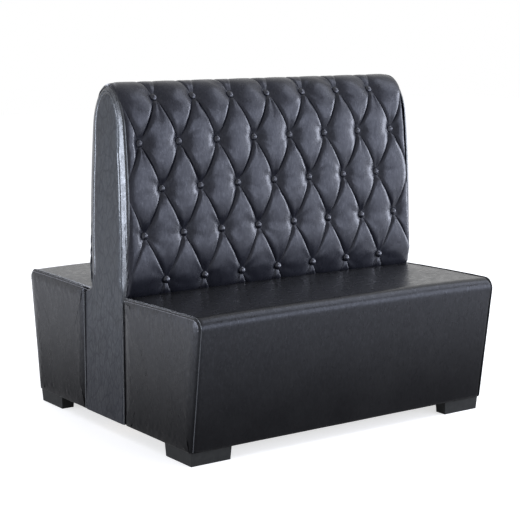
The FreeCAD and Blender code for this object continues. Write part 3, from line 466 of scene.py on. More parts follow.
def noise_socket(tree, where, scale, detail=4, roughness=0.55, distortion=0.0):
    """A cloud pattern."""
    pattern = tree.nodes.new("ShaderNodeTexNoise")
    pattern.inputs["Scale"].default_value = scale
    pattern.inputs["Detail"].default_value = detail
    pattern.inputs["Roughness"].default_value = roughness
    pattern.inputs["Distortion"].default_value = distortion
    tree.links.new(where, pattern.inputs["Vector"])
    return pattern.outputs["Fac"]


def pebble_socket(tree, where, scale):
    """Rounded grains, high in their middles."""
    pattern = tree.nodes.new("ShaderNodeTexVoronoi")
    pattern.feature = "SMOOTH_F1"
    pattern.inputs["Scale"].default_value = scale
    pattern.inputs["Smoothness"].default_value = PEBBLE_SMOOTHNESS
    tree.links.new(where, pattern.inputs["Vector"])
    return pattern.outputs["Distance"]


def crack_socket(tree, where, scale):
    """Thin lines between irregular fields, for creases in a skin."""
    pattern = tree.nodes.new("ShaderNodeTexVoronoi")
    pattern.feature = "DISTANCE_TO_EDGE"
    pattern.inputs["Scale"].default_value = scale
    tree.links.new(where, pattern.inputs["Vector"])
    return ranged(tree, pattern.outputs["Distance"], 0, CRACK_WIDTH, 0, 1)


def ranged(tree, source, low, high, out_low, out_high, kind="LINEAR"):
    """A pattern carried from one range of numbers to another."""
    reach = tree.nodes.new("ShaderNodeMapRange")
    reach.interpolation_type = kind
    for name, number in (("From Min", low), ("From Max", high), ("To Min", out_low),
                         ("To Max", out_high)):
        reach.inputs[name].default_value = number
    tree.links.new(source, reach.inputs["Value"])
    return reach.outputs["Result"]


def colour_socket(tree, source, *stops):
    """A pattern turned into colours, each stop a place and a colour."""
    ramp = tree.nodes.new("ShaderNodeValToRGB")
    elements = ramp.color_ramp.elements
    while len(elements) < len(stops):
        elements.new(0.5)
    for element, (place, colour) in zip(elements, stops):
        element.position = place
        element.color = (*colour, 1)
    tree.links.new(source, ramp.inputs["Fac"])
    return ramp.outputs["Color"]


def raise_by(tree, source, distance, strength=1.0, below=None):
    """A bump from a pattern, over another bump if one is given."""
    bump = tree.nodes.new("ShaderNodeBump")
    bump.inputs["Distance"].default_value = distance
    bump.inputs["Strength"].default_value = strength
    tree.links.new(source, bump.inputs["Height"])
    if below:
        tree.links.new(below, bump.inputs["Normal"])
    return bump.outputs["Normal"]


def product(tree, first, second):
    """Two patterns multiplied."""
    times = tree.nodes.new("ShaderNodeMath")
    times.operation = "MULTIPLY"
    tree.links.new(first, times.inputs[0])
    tree.links.new(second, times.inputs[1])
    return times.outputs["Value"]


def black_upholstery(name, roughness, specular, grain, crease, swell, stretch=(1, 1, 1),
                     tint=(0.85, 0.88, 1), base=BLUE_BLACK, painted_low_sheen=1.0, fields=95, worn=0.9):
    """Smooth black cover stuff: soft waves, fine creases, a small grain, and painted shade low
    down:
    its specular level falls towards the floor, so its reflection is painted lighter on top.

    grain, crease and swell are the depths of its bumps. The low share is the painted specular
    level at the floor as a share of the one on top, fields is the number of creased fields to a
    metre, and worn is the share of the sheen that a crease keeps.
    """
    material, tree, shader = new_finish(name, roughness, specular, tint)
    place = place_socket(tree)
    along = place_socket(tree, stretch)
    clouds = noise_socket(tree, place, *TONES)
    tree.links.new(colour_socket(tree, clouds, *zip(DARK_AND_LIGHT, base)),
                   shader.inputs["Base Color"])
    rubbed = noise_socket(tree, along, *RUBS)
    tree.links.new(ranged(tree, rubbed, *RUB_RANGE, roughness - RUB_SMOOTHER,
                          roughness + RUB_ROUGHER), shader.inputs["Roughness"])
    creases = crack_socket(tree, along, fields)
    height = tree.nodes.new("ShaderNodeSeparateXYZ")
    tree.links.new(place, height.inputs["Vector"])
    # Painted reflection: the specular level rises with height, so the lower parts are painted
    # shaded and the tops lit; creases and scuffs then vary it as wear.
    painted_sheen_and_wear = ranged(tree, height.outputs["Z"], PAINTED_SHEEN_LOW, PAINTED_SHEEN_TOP, painted_low_sheen * specular,
                   specular, "SMOOTHSTEP")
    painted_sheen_and_wear = product(tree, painted_sheen_and_wear, ranged(tree, creases, 0, 1, worn, 1))
    scuffs = noise_socket(tree, place_socket(tree, SCUFF_WAYS), *SCUFFS)
    painted_sheen_and_wear = product(tree, painted_sheen_and_wear, ranged(tree, scuffs, *SCUFF_RANGE))
    tree.links.new(painted_sheen_and_wear, shader.inputs["Specular IOR Level"])
    waves = raise_by(tree, noise_socket(tree, place, *WAVES), swell)
    cracks = raise_by(tree, creases, crease, CRACK_STRENGTH, waves)
    wrinkles = raise_by(tree, noise_socket(tree, along, *WRINKLES), crease, WRINKLE_STRENGTH,
                        cracks)
    pebbles = raise_by(tree, pebble_socket(tree, place, PEBBLES), grain, PEBBLE_STRENGTH,
                       wrinkles)
    tree.links.new(pebbles, shader.inputs["Normal"])
    return material


def charcoal_foot():
    """Matt charcoal of the moulded feet, with a faint mottle."""
    material, tree, shader = new_finish("foot", FOOT_ROUGHNESS, FOOT_SPECULAR)
    place = place_socket(tree)
    mottle = noise_socket(tree, place, *FOOT_MOTTLE)
    tree.links.new(colour_socket(tree, mottle, *zip(DARK_AND_LIGHT, FOOT_COLOURS)),
                   shader.inputs["Base Color"])
    tree.links.new(raise_by(tree, noise_socket(tree, place, *FOOT_GRAIN), FOOT_GRAIN_DEPTH),
                   shader.inputs["Normal"])
    return material


def sawn_wood(name, light, dark, along):
    """Wood with its grain along one axis."""
    material, tree, shader = new_finish(name, WOOD_ROUGHNESS, WOOD_SPECULAR)
    stretch = tuple(ALONG_GRAIN if axis == along else ACROSS_GRAIN for axis in range(3))
    place = place_socket(tree, stretch)
    grain = noise_socket(tree, place, *WOOD_GRAIN)
    tree.links.new(colour_socket(tree, grain, *zip(GRAIN_RANGE, (dark, light))),
                   shader.inputs["Base Color"])
    tree.links.new(raise_by(tree, grain, GRAIN_DEPTH, GRAIN_STRENGTH), shader.inputs["Normal"])
    return material


def open_foam():
    """Pale cut foam with small open cells."""
    material, tree, shader = new_finish("foam", SOFT_ROUGHNESS, SOFT_SPECULAR)
    place = place_socket(tree)
    cells = pebble_socket(tree, place, FOAM_CELLS)
    tree.links.new(colour_socket(tree, cells, *zip((0.1, 0.7), FOAM_COLOURS)),
                   shader.inputs["Base Color"])
    tree.links.new(raise_by(tree, cells, CELL_DEPTH), shader.inputs["Normal"])
    return material


def woven_cloth(name, light, dark, threads):
    """Plain woven cloth, its threads to a metre given."""
    material, tree, shader = new_finish(name, SOFT_ROUGHNESS, SOFT_SPECULAR)
    place = place_socket(tree)
    bands = []
    for axis in ("X", "Y"):
        band = tree.nodes.new("ShaderNodeTexWave")
        band.bands_direction = axis
        band.inputs["Scale"].default_value = threads / THREADS_TO_BAND
        band.inputs["Distortion"].default_value = THREAD_WAVER
        tree.links.new(place, band.inputs["Vector"])
        bands.append(band.outputs["Fac"])
    weave = product(tree, *bands)
    tree.links.new(colour_socket(tree, weave, (0.05, dark), (0.6, light)),
                   shader.inputs["Base Color"])
    tree.links.new(raise_by(tree, weave, THREAD_DEPTH), shader.inputs["Normal"])
    return material


def drawn_metal(name, colour, roughness):
    """Bare or plated steel with fine drawing marks."""
    material, tree, shader = new_finish(name, roughness)
    shader.inputs["Metallic"].default_value = 1.0
    place = place_socket(tree)
    marks = noise_socket(tree, place, *METAL_MARKS)
    darker = tuple(part * METAL_DARK_SHARE for part in colour)
    tree.links.new(colour_socket(tree, marks, *zip(DARK_AND_LIGHT, (darker, colour))),
                   shader.inputs["Base Color"])
    tree.links.new(ranged(tree, marks, *DARK_AND_LIGHT, roughness - METAL_SMOOTHER,
                          roughness + METAL_ROUGHER), shader.inputs["Roughness"])
    return material


THREAD, _, thread_shader = new_finish("thread", 0.6, 0.3)
thread_shader.inputs["Base Color"].default_value = THREAD_COLOUR
UPHOLSTERY = black_upholstery("upholstery", 0.3, 0.31, 0.03 * MM, 0.045 * MM, 0.4 * MM)
# The beads' copy of the vinyl reflects more than twice as strongly as the panels: painted
# highlight on the rolled beads, the piping and the seam strands.
BEAD_HIGHLIGHT_UPHOLSTERY = black_upholstery("upholstery_beads_painted_highlight", 0.29, 0.72, 0.02 * MM, 0.04 * MM, 0.2 * MM,
                                   tint=(0.9, 0.95, 1))
# The end panels keep 35% of their sheen at the floor: painted shade towards the bottom.
SIDE_UPHOLSTERY = black_upholstery("upholstery_sides", 0.38, 0.32, 0.05 * MM, 0.3 * MM, 0.6 * MM,
                                   (1, 1, 0.5), (0.8, 0.91, 1), BLUE_BLACK, 0.35, 42, 0.66)
# The seats keep 12% of their sheen at the floor: painted shade towards the bottom.
SEAT_UPHOLSTERY = black_upholstery("upholstery_seats", 0.3, 0.3, 0.02 * MM, 0.03 * MM, 0.3 * MM,
                                   (1, 1, 0.6), (0.8, 0.85, 1), NEUTRAL_BLACK, 0.12, 60, 0.93)
# The buttons' copy of the vinyl has a raised specular level: painted highlight on the buttons.
BUTTON_HIGHLIGHT_UPHOLSTERY = black_upholstery("upholstery_buttons_painted_highlight", 0.2, 0.5, 0.02 * MM, 0.03 * MM, 0)
FOOT = charcoal_foot()
PINE = ((0.56, 0.4, 0.22), (0.4, 0.26, 0.13))
FINISHES = (
    ("buttons", BUTTON_HIGHLIGHT_UPHOLSTERY),
    ("foot_screws", drawn_metal("zinc", (0.6, 0.6, 0.58), 0.35)),
    ("foot_", FOOT),
    ("seat_springs", drawn_metal("spring_steel", (0.3, 0.3, 0.32), 0.4)),
    ("dust", woven_cloth("dust_cloth", (0.03, 0.03, 0.032), (0.014, 0.014, 0.015), 900)),
    ("seat_deck", woven_cloth("deck_cloth", (0.5, 0.4, 0.25), (0.32, 0.24, 0.13), 500)),
    ("button_twine", woven_cloth("twine", (0.62, 0.56, 0.46), (0.42, 0.36, 0.27), 900)),
    ("back_foam", open_foam()),
    ("back_facing", sawn_wood("plywood", (0.62, 0.47, 0.29), (0.48, 0.34, 0.19), 0)),
    ("back_gable", sawn_wood("upright_timber", *PINE, 2)),
    ("back_centre_post", bpy.data.materials["upright_timber"]),
    ("seat_divider", sawn_wood("cross_timber", *PINE, 1)),
    ("seat_end_board", bpy.data.materials["cross_timber"]),
    ("corner_blocks", bpy.data.materials["upright_timber"]),
    ("back_", sawn_wood("long_timber", *PINE, 0)),
    ("seat_front_board", bpy.data.materials["plywood"]),
    ("seat_rear_board", bpy.data.materials["long_timber"]),
    ("coach", bpy.data.materials["zinc"]),
    ("spring_clips", bpy.data.materials["zinc"]),
)


def dress_solids():
    """A finish for every solid of the booth that the covers don't stand for."""
    for name, node in frame["nodes"].items():
        if node.hide_render:
            continue
        finish = next(finish for start, finish in FINISHES if name.startswith(start))
        node.data.materials.clear()
        node.data.materials.append(finish)


# Studio: the floor's colour and the light it gives to the rays that show the background, and the
# lamps as name, place, target, width and height, and power.
FLOOR_HALF = 14
FLOOR_COLOUR = (0.62, 0.62, 0.62, 1)
FLOOR_GLOW = 0.66
FLOOR_ROUGHNESS = 0.9
FLOOR_SPECULAR = 0.1
WORLD_COLOUR = (0.55, 0.56, 0.6, 1)
LAMPS = (
    ("left_window", (-4.2, 2.0, 0.75), (-0.6, 0, 0.7), (1.3, 1.4), 100),
    ("right_window", (4.2, -1.2, 1.2), (0, 0, 0.7), (1.5, 2.1), 120),
    ("front_window", (2.3, -4.2, 1.35), (0, 0, 0.7), (5.2, 2.3), 175),
    ("overhead", (2.2, -1.3, 3.2), (0, -0.3, 0.6), (2.4, 2.4), 55),
    ("rear_window", (-0.6, 3.6, 2.8), (-0.5, -0.2, 0.6), (2.4, 0.9), 60),
)


def add_floor():
    """A plain pale floor that keeps the booth's shadow."""
    bm = bmesh.new()
    bmesh.ops.create_grid(bm, x_segments=2, y_segments=2, size=FLOOR_HALF)
    floor = finished(bm, "studio_floor", slot=None)
    material, tree, shader = new_finish("studio_floor", FLOOR_ROUGHNESS, FLOOR_SPECULAR)
    shader.inputs["Base Color"].default_value = FLOOR_COLOUR
    glow = tree.nodes.new("ShaderNodeEmission")
    glow.inputs["Strength"].default_value = FLOOR_GLOW
    clear = tree.nodes.new("ShaderNodeEmission")
    clear.inputs["Strength"].default_value = 0
    seen = tree.nodes.new("ShaderNodeMixShader")
    seen_rays(tree, seen)
    tree.links.new(clear.outputs["Emission"], seen.inputs[1])
    tree.links.new(glow.outputs["Emission"], seen.inputs[2])
    both = tree.nodes.new("ShaderNodeAddShader")
    tree.links.new(shader.outputs["BSDF"], both.inputs[0])
    tree.links.new(seen.outputs["Shader"], both.inputs[1])
    tree.links.new(both.outputs["Shader"], tree.nodes["Material Output"].inputs["Surface"])
    floor.data.materials.append(material)


def seen_rays(tree, mix):
    """Turn a mix by the rays that show the background: camera, glossy and transmission."""
    light_path = tree.nodes.new("ShaderNodeLightPath")
    total = light_path.outputs["Is Camera Ray"]
    for name in ("Is Glossy Ray", "Is Transmission Ray"):
        largest = tree.nodes.new("ShaderNodeMath")
        largest.operation = "MAXIMUM"
        tree.links.new(total, largest.inputs[0])
        tree.links.new(light_path.outputs[name], largest.inputs[1])
        total = largest.outputs["Value"]
    tree.links.new(total, mix.inputs["Fac"])


def add_world():
    """White behind the booth, and a soft grey light from all round."""
    world = bpy.data.worlds.new("studio")
    bpy.context.scene.world = world
    world.use_nodes = True
    tree = world.node_tree
    soft = tree.nodes["Background"]
    soft.inputs["Color"].default_value = WORLD_COLOUR
    white = tree.nodes.new("ShaderNodeBackground")
    white.inputs["Color"].default_value = (1, 1, 1, 1)
    mix = tree.nodes.new("ShaderNodeMixShader")
    seen_rays(tree, mix)
    tree.links.new(soft.outputs["Background"], mix.inputs[1])
    tree.links.new(white.outputs["Background"], mix.inputs[2])
    tree.links.new(mix.outputs["Shader"], tree.nodes["World Output"].inputs["Surface"])


# Shared shapes of the end panels and end covers
PANEL_RIM = 576 * MM
SEAT_RIM = 590 * MM
HEM_FOLD = 22 * MM
BEAD_SIDE = 598.6 * MM
NEAR_SEAM = 99.5 * MM
FAR_SEAM = 150.5 * MM
SHOULDER = 450 * MM
PANEL_THICKNESS = 260 * MM
PANEL_TOP = 1137 * MM
END_SHARES = ((0, 1), (0.2, 0.994), (0.385, 0.972), (0.677, 0.895), (0.808, 0.817),
              (0.927, 0.585), (0.988, 0.345), (0.992, 0.18), (0.892, 0))
PANEL_INSET = 9 * MM
BEAD = ((0, -11), (1.2, -7.8), (4.5, -6), (16, -3.2), (28, -0.5), (32, 0), (36, -2.2))
ROUNDED = ((0, -8.5), (2.6, -2.5), (9, 0))
PUFFED = ((0, -10), (3, -6.2), (10, -3.4), (23, -1.2), (42, 0))
ROLL_STEPS = 12
GROOVE = 4 * MM
FACE_STEPS = 12
FACE_POWER = 1.5
LOOP_STEP = 4 * MM
LOOP_ROUNDS = 5
BEAD_LEVELS = (440 * MM, 540 * MM)
TAPER_LEVELS = (1090 * MM, 900 * MM)
TAPER_SHARE = 0.6
SWELL_RISE = 0.9 * MM
SWELL_SIZE = 120 * MM
SWELL_SEED = 3
CREASE_POWER = 6
CREASE_CROWDING = 7
CREASE_SIZE = 90 * MM
CREASE_SEED = 11
FACE_SINK = 0.5 * MM
PANEL_CREASE = 0.25 * MM
END_CREASE = 0.9 * MM
FINE_MERGE = MM / 20
HEM_SPARE = 10 * MM
SHOULDER_DROP = 6 * MM
WALL_LEVELS = (478 * MM, 448 * MM)
HEART_SHARE = 0.45


def evened(points):
    """A closed outline with even steps, its corners rounded off by averaging."""
    closed = np.vstack((points, points[:1]))
    along = np.concatenate(([0], np.cumsum(np.hypot(*np.diff(closed, axis=0).T))))
    count = int(along[-1] / LOOP_STEP)
    even = np.linspace(0, along[-1], count, endpoint=False)
    loop = np.column_stack([np.interp(even, along, closed[:, axis]) for axis in (0, 1)])
    for turn in range(LOOP_ROUNDS):
        loop = (np.roll(loop, 1, axis=0) + 2 * loop + np.roll(loop, -1, axis=0)) / 4
    return loop


def inward(loop):
    """Unit directions into a closed outline, at each of its points."""
    along = np.roll(loop, -1, axis=0) - np.roll(loop, 1, axis=0)
    normal = np.column_stack((-along[:, 1], along[:, 0]))
    normal /= np.linalg.norm(normal, axis=1)[:, None]
    area = np.sum(loop[:, 0] * np.roll(loop[:, 1], -1) - loop[:, 1] * np.roll(loop[:, 0], -1))
    return normal if area > 0 else -normal


def snapped(places):
    """Places moved to even steps, so that points from both sides of a line meet."""
    return np.round(places / (2 * LOOP_STEP)) * 2 * LOOP_STEP


def even_edge(points):
    """The section of a panel's edge in even steps: distance in from the rim and depth."""
    path = Outline([(aside * MM, fall * MM) for aside, fall in points])
    even = np.linspace(0, path.length, ROLL_STEPS + 1)
    return np.column_stack([np.interp(even, path.along, path.points[:, axis])
                            for axis in (0, 1)])


def hem_fold(bm):
    """New vertices, extruded from the open edge along the hem, to be folded under."""
    hem = [edge for edge in bm.edges if edge.is_boundary
           and all(abs(vert.co.z - HEM) < MM / 2 for vert in edge.verts)]
    fold = bmesh.ops.extrude_edge_only(bm, edges=hem)["geom"]
    return [part for part in fold if isinstance(part, bmesh.types.BMVert)]


def dished(name, loop, heart, rim, roll, lean, hand, ripple, *nodes):
    """A panel that turns over its rim to a face: the loop is in depth and height.

    heart gives the place in the middle for each place of the loop, rim the distance out where the
    wall starts, roll the section of the edge, lean the slope of the face, hand the end of the
    booth, and ripple the height of the creases beside the edge.
    """
    count = len(loop)
    rows = 2 + ROLL_STEPS + FACE_STEPS
    bm = bmesh.new()
    bmesh.ops.create_grid(bm, x_segments=count, y_segments=rows - 1, size=0.5)
    into = inward(loop)
    hearts = heart(loop)
    plain = even_edge(PUFFED if roll is PUFFED else ROUNDED)
    beaded = even_edge(roll)
    for vert in bm.verts:
        index = round((vert.co.x + 0.5) * count) % count
        row = round((vert.co.y + 0.5) * (rows - 1))
        edge, way, middle = loop[index], into[index], hearts[index]
        share = smooth(*BEAD_LEVELS, edge[1])
        taper = TAPER_SHARE + (1 - TAPER_SHARE) * smooth(*TAPER_LEVELS, edge[1])
        step = min(max(row - 1, 0), ROLL_STEPS)
        aside, fall = (1 - share) * plain[step] + share * beaded[step] * (taper, 1)
        rolled = edge + way * aside
        face_share = (max(row - 1 - ROLL_STEPS, 0) / FACE_STEPS) ** FACE_POWER
        place = rolled * (1 - face_share) + middle * face_share
        face = END_FACE - lean * max(place[1] - HEM, 0)
        fall = max(fall, rim[index] - face + MM)
        fall *= math.exp(-math.hypot(*(place - rolled)) / GROOVE)
        across = rim[index] if row == 0 else face + fall
        turn = step / ROLL_STEPS
        swell = SWELL_RISE * wander(hand, place[0], place[1], SWELL_SIZE, SWELL_SEED)
        crease = ripple * turn * (1 - face_share) ** CREASE_POWER
        crease *= wander(hand * 4, place[0] * CREASE_CROWDING, place[1] * CREASE_CROWDING,
                         CREASE_SIZE, CREASE_SEED)
        across += (swell * turn - FACE_SINK * (row > 0)) + crease
        vert.co = (hand * across, -place[0], place[1])
    bmesh.ops.remove_doubles(bm, verts=bm.verts, dist=FINE_MERGE)
    parts = bm.verts[:] + bm.edges[:] + bm.faces[:]
    bmesh.ops.bisect_plane(bm, geom=parts, dist=CUT_REACH, plane_co=(0, 0, HEM),
                           plane_no=(0, 0, -1), clear_outer=True)
    for vert in hem_fold(bm):
        vert.co.x -= hand * HEM_FOLD * (abs(vert.co.x) > SEAT_RIM)
        vert.co.z += MM
    bmesh.ops.recalc_face_normals(bm, faces=bm.faces)
    # The rolled bead's faces take the second, glossier finish, which paints their highlight.
    for face in bm.faces:
        innermost = min(abs(vert.co.x) for vert in face.verts)
        rounded = innermost < BEAD_SIDE - lean * face.verts[0].co.z
        face.material_index = int(rounded and roll is BEAD)
    panel = finished(bm, name, *nodes)
    panel.data.materials.append(SIDE_UPHOLSTERY if roll is BEAD else SEAT_UPHOLSTERY)
    panel.data.materials.append(BEAD_HIGHLIGHT_UPHOLSTERY)
    return panel


def back_panel_loop():
    """The outline of an end panel of the back in depth and height, and where its wall starts."""
    half = PANEL_THICKNESS / 2 - PANEL_INSET
    top = PANEL_TOP - PANEL_INSET / 2
    places = [(wide * half, BACK_LOW + tall * (top - BACK_LOW)) for wide, tall in END_SHARES]
    near = Outline(places).points
    below = HEM - HEM_SPARE
    front = np.vstack((near, [(NEAR_SEAM, BACK_LOW - SHOULDER_DROP), (NEAR_SEAM, below)]))
    far = near * (-1, 1)
    rear = np.vstack((far, [(-FAR_SEAM, SHOULDER), (-FAR_SEAM, below)]))
    loop = evened(np.vstack((front[::-1], rear[1:])))
    wall = PANEL_RIM + (SEAT_RIM - PANEL_RIM) * smooth(*WALL_LEVELS, loop[:, 1])
    return loop, wall


def end_panels():
    """The two end panels of the back, each from the floor hem up and over the top."""
    loop, wall = back_panel_loop()

    def heart(points):
        level = np.clip(points[:, 1], HEM - HEM_SPARE, PANEL_TOP - HEART_SHARE * PANEL_THICKNESS)
        return np.column_stack((np.zeros(len(points)), snapped(level)))

    for label, hand in (("left", -1), ("right", 1)):
        dished(f"back_end_cover_{label}", loop, heart, wall, BEAD, LEAN, hand, PANEL_CREASE,
               f"back_end_cover_{label}", f"back_end_padding_{label}")


# Seams, piping and stitches
SEAM_TWIST = 90 * MM
SEAM_RADIUS = 1.5 * MM
SEAM_WELT = 1.7 * MM
TWIST_WAVER = 1.6
TWIST_SIZE = 60 * MM
TWIST_SEED = 31
PIPING = 1.3 * MM
PIPING_PROUD = 0.9 * MM
PIPING_FACE = 590.6 * MM
PIPING_WAVER = 0.4 * MM
PIPING_SIZE = 25 * MM
PIPING_SEED = 41
STITCH = 0.7 * MM
STITCH_INSET = 7 * MM
STITCH_FACE = 597.4 * MM
STITCH_PITCH = 8 * MM
STITCH_SHARE = 0.72
STITCH_LOW = 425 * MM
SIDE_WELT = 1.5 * MM
SEAM_MIDDLE = 1.5 * MM
SEAM_STEP = 7 * MM
SEAM_SPREAD = 2.3 * MM
SEAM_FACE = 598.2 * MM
SIDE_WAVER = 1.2 * MM
SIDE_SIZE = 45 * MM
SIDE_SEED = 53
FACE_WAVER = 0.8 * MM
FACE_SIZE = 30 * MM
FACE_SEED = 59
GAP_WELT = 3 * MM
GAP_FACE = 592.5 * MM
GAP_POINTS = 5


def tubes(name, lines, radius, material):
    """Thin round runs along lines of points, as one piece."""
    data = bpy.data.curves.new(name, "CURVE")
    data.dimensions = "3D"
    data.bevel_depth = radius
    data.bevel_resolution = 1
    data.resolution_u = 2
    for line in lines:
        spline = data.splines.new("NURBS" if len(line) > 3 else "POLY")
        spline.points.add(len(line) - 1)
        for point, place in zip(spline.points, line):
            point.co = (*place, 1)
        if len(line) > 3:
            spline.order_u = 3
            spline.use_endpoint_u = True
    round_runs = bpy.data.objects.new(name, data)
    mesh = bpy.data.meshes.new_from_object(round_runs)
    bpy.data.objects.remove(round_runs)
    bpy.data.curves.remove(data)
    for face in mesh.polygons:
        face.use_smooth = True
    piece = bpy.data.objects.new(name, mesh)
    bpy.context.scene.collection.objects.link(piece)
    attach(piece, "root")
    piece.data.materials.append(material)


def stitches(line):
    """Short straight runs along a line, one to a pitch."""
    line = np.array(line)
    along = np.concatenate(([0], np.cumsum(np.linalg.norm(np.diff(line, axis=0), axis=1))))
    runs = []
    for start in np.arange(0, along[-1] - STITCH_PITCH, STITCH_PITCH):
        ends = (start, start + STITCH_PITCH * STITCH_SHARE)
        runs.append([[np.interp(end, along, line[:, axis]) for axis in range(3)] for end in ends])
    return runs


def edge_seams():
    """The gathered seams between the buttoned cover and the end panels, over the top."""
    half = np.arange(creases.length, 0, -LOOP_STEP)
    for label, hand in (("left", -1), ("right", 1)):
        strands = [[], []]
        middle = []
        for turned, run in ((1, half), (-1, half[::-1])):
            for down in run:
                place = tuft_surface(np.array([TUFT_HALF + EDGE_WALL / 2]), np.array([down]))[0]
                way = creases.way(down)
                middle.append((place[0], turned * place[1], place[2], turned * way[1], way[0]))
        for index, (face, depth, level, out_y, out_z) in enumerate(middle):
            twist = index * LOOP_STEP / SEAM_TWIST * 2 * math.pi
            twist += TWIST_WAVER * wander(face * hand, depth, level, TWIST_SIZE, TWIST_SEED)
            for strand, line in enumerate(strands):
                angle = twist + strand * math.pi
                aside = SEAM_RADIUS * math.cos(angle) + MM
                proud = SEAM_RADIUS * math.sin(angle)
                line.append((hand * (face + aside), depth + out_y * proud, level + out_z * proud))
        tubes(f"back_edge_seam_{label}", strands, SEAM_WELT, BEAD_HIGHLIGHT_UPHOLSTERY)


# Seats
TOE_DEPTH = 496 * MM
NOSE_DEPTH = 548 * MM
NOSE_RADIUS = 34 * MM
SEAT_HEIGHT = 468 * MM
REAR_DROP = 6 * MM
SEAT_REAR = 101.3 * MM
SEAT_CROWN = 5 * MM
SEAT_END = 589.6 * MM
TUCK_LEVEL = 425 * MM
NOSE_POINTS = 14
TOP_POINTS = 46
TUCK_POINTS = 8
TOP_SWELL = 1.5 * MM
SEAT_REAR_RADIUS = 8 * MM
SEAT_ROWS = 110
SEAT_COLUMNS = 150
CROWDED_SHARE = 0.12
TOP_LEVELS = (380 * MM, 460 * MM)
END_SINK = 2.5 * MM
END_SINK_WIDTH = 7 * MM
CROWN_POWER = 3
SAG_SIZE = 150 * MM
SAG_SEEDS = (20, 25)
TOP_SAG = 1.3 * MM
FRONT_SAG = 1.4 * MM
FINE_SIZE = 34 * MM
FINE_SEED = 7
TOP_FINE = 0.25 * MM
FRONT_FINE = 0.2 * MM
END_SEAMS = (("front", False, 102.5 * MM), ("rear", True, 153.5 * MM))
END_REAR_RADIUS = 9 * MM
END_HEARTS = (250 * MM, 370 * MM)
END_HEART_LEVEL = 250 * MM


def seat_profile(rear, rear_radius, low):
    """Half of the seat's outline from its toe over the nose to its rear edge."""
    middle = (NOSE_DEPTH - NOSE_RADIUS, SEAT_HEIGHT - NOSE_RADIUS)
    run, climb = middle[0] - TOE_DEPTH, middle[1] - HEM
    lean = math.atan2(run, climb) + math.asin(NOSE_RADIUS / math.hypot(run, climb))
    toe = (TOE_DEPTH + math.tan(lean) * (low - HEM), low)

    def on_nose(angle):
        return (middle[0] + NOSE_RADIUS * math.cos(angle),
                middle[1] + NOSE_RADIUS * math.sin(angle))

    nose = arc_points(on_nose(-lean), on_nose(math.pi / 4), on_nose(math.pi / 2), NOSE_POINTS)
    top = SEAT_HEIGHT - REAR_DROP
    fall = (rear + rear_radius, top)
    swell = ((nose[-1][0] + fall[0]) / 2, (SEAT_HEIGHT + top) / 2 + TOP_SWELL)
    crest = arc_points(tuple(nose[-1]), swell, fall, TOP_POINTS)
    turn = rear_radius * (1 - math.sqrt(0.5))
    tuck = arc_points(fall, (rear + turn, top - turn), (rear, top - rear_radius), TUCK_POINTS)
    return np.vstack(([toe], nose, crest[1:], tuck[1:]))


def seat_covers():
    """The seat covers, each in one piece from the hem over the nose to the tuck at the back."""
    outline = seat_profile(SEAT_REAR, SEAT_REAR_RADIUS, HEM)
    outline = np.vstack((outline, [(SEAT_REAR, TUCK_LEVEL)]))
    along = np.concatenate(([0], np.cumsum(np.hypot(*np.diff(outline, axis=0).T))))
    even = np.linspace(0, along[-1], SEAT_ROWS + 1)
    path = np.column_stack([np.interp(even, along, outline[:, axis]) for axis in (0, 1)])
    for label, turned, seed in zip(("front", "rear"), (False, True), SAG_SEEDS):
        bm = bmesh.new()
        bmesh.ops.create_grid(bm, x_segments=SEAT_COLUMNS, y_segments=SEAT_ROWS, size=0.5)
        for vert in bm.verts:
            share = 2 * vert.co.x
            across = SEAT_END * math.sin(share * math.pi / 2) * CROWDED_SHARE
            across += SEAT_END * share * (1 - CROWDED_SHARE)
            depth, level = path[round((vert.co.y + 0.5) * SEAT_ROWS)]
            raised = smooth(*TOP_LEVELS, level)
            sunk = END_SINK * smooth(SEAT_END - END_SINK_WIDTH, SEAT_END, abs(across))
            level += SEAT_CROWN * (1 - abs(share) ** CROWN_POWER) * raised - sunk * raised
            soft = wander(across, depth, level, SAG_SIZE, seed)
            fine = wander(across, depth * 2, level, FINE_SIZE, seed + FINE_SEED)
            level += (TOP_SAG * soft + TOP_FINE * fine) * raised
            depth += (FRONT_SAG * soft + FRONT_FINE * fine - sunk) * (1 - raised)
            vert.co = (across, -depth, level)
        for vert in hem_fold(bm):
            vert.co.y += HEM_FOLD
            vert.co.z += MM
        if turned:
            bmesh.ops.transform(bm, matrix=HALF_TURN, verts=bm.verts)
        bmesh.ops.recalc_face_normals(bm, faces=bm.faces)
        cover = finished(bm, f"seat_cover_{label}", f"seat_cover_{label}", f"seat_foam_{label}",
                         f"seat_front_padding_{label}")
        cover.data.materials.append(SEAT_UPHOLSTERY)


def seat_ends():
    """The padded end covers of the seats."""
    for label, turned, seam in END_SEAMS:
        outline = seat_profile(seam, END_REAR_RADIUS, HEM - HEM_SPARE)
        outline = np.vstack((outline, [(seam, HEM - HEM_SPARE)]))
        loop = evened(outline)

        def heart(points):
            depth = np.clip(points[:, 0], *END_HEARTS)
            return np.column_stack((snapped(depth), np.full(len(points), END_HEART_LEVEL)))

        rim = np.full(len(loop), SEAT_RIM)
        for hand_label, hand in (("left", -1), ("right", 1)):
            name = f"seat_end_cover_{label}_{hand_label}"
            padding = f"seat_end_padding_{label}_{hand_label}"
            panel = dished(name, loop, heart, rim, PUFFED, 0, -hand if turned else hand,
                           END_CREASE, name, padding)
            if turned:
                panel.data.transform(HALF_TURN)


def spaced(points, step):
    """Places along an open outline in even steps, and the directions out from it."""
    along = np.concatenate(([0], np.cumsum(np.hypot(*np.diff(points, axis=0).T))))
    even = np.arange(step / 2, along[-1] - step / 2, step)
    run = np.column_stack([np.interp(even, along, points[:, axis]) for axis in (0, 1)])
    way = np.gradient(run, axis=0)
    way /= np.linalg.norm(way, axis=1)[:, None]
    return run, np.column_stack((way[:, 1], -way[:, 0]))


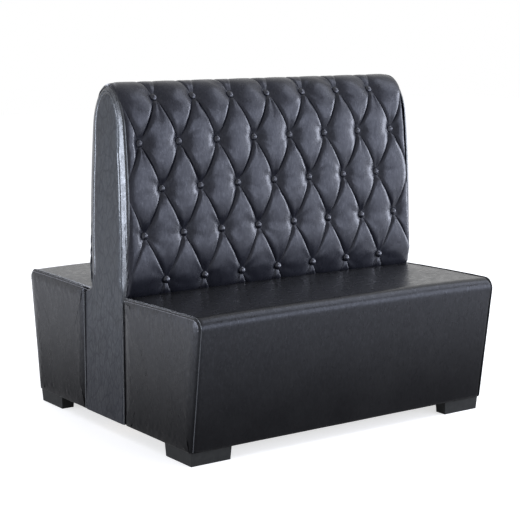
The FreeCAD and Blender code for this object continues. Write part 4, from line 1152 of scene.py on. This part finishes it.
def seat_seams():
    """Piping round the ends of the seat covers, stitches beside it, and the upright seams."""
    run, out = spaced(seat_profile(SEAT_REAR, SEAT_REAR_RADIUS, HEM), SEAM_STEP)
    for label, hand in (("left", -1), ("right", 1)):
        piping, thread = [], []
        for turned in (1, -1):
            wave = PIPING_WAVER * np.array([wander(place[0] * turned, place[1], hand,
                                                   PIPING_SIZE, PIPING_SEED) for place in run])
            welt = run + out * (PIPING_PROUD + wave)[:, None]
            row = run - out * (STITCH_INSET - wave)[:, None]
            welt = [(hand * PIPING_FACE, -turned * depth, level) for depth, level in welt]
            row = [(hand * STITCH_FACE, -turned * depth, level) for depth, level in row]
            piping.append(welt)
            thread += stitches([place for place in row if place[2] > STITCH_LOW])
        tubes(f"seat_piping_{label}", piping, PIPING, BEAD_HIGHLIGHT_UPHOLSTERY)
        tubes(f"seat_stitches_{label}", thread, STITCH, THREAD)
        lines, closed = [], []
        for depth in (-NEAR_SEAM - SEAM_MIDDLE, FAR_SEAM + SEAM_MIDDLE):
            closed.append([(hand * GAP_FACE, depth, level)
                           for level in np.linspace(HEM + MM, SHOULDER - MM, GAP_POINTS)])
            for strand in (-1, 1):
                line = []
                for level in np.arange(HEM + MM, SHOULDER - MM, SEAM_STEP):
                    wave = SIDE_WAVER * wander(depth, level, strand * hand, SIDE_SIZE, SIDE_SEED)
                    face = wander(level, depth, strand, FACE_SIZE, FACE_SEED)
                    face = SEAM_FACE + FACE_WAVER * face
                    line.append((hand * face, depth + strand * SEAM_SPREAD + wave, level))
                lines.append(line)
        tubes(f"side_seam_{label}", lines, SIDE_WELT, BEAD_HIGHLIGHT_UPHOLSTERY)
        tubes(f"side_gap_{label}", closed, GAP_WELT, SEAT_UPHOLSTERY)


tufted_cover()
end_panels()
edge_seams()
seat_covers()
seat_ends()
seat_seams()
for piece in bpy.context.scene.objects:
    if piece.type == "MESH" and not piece.data.materials:
        piece.data.materials.append(UPHOLSTERY)
dress_solids()
add_floor()
add_camera()
add_world()
for name, place, target, size, power in LAMPS:
    add_lamp(name, place, target, *size, power)
bpy.context.scene.view_settings.view_transform = "Standard"
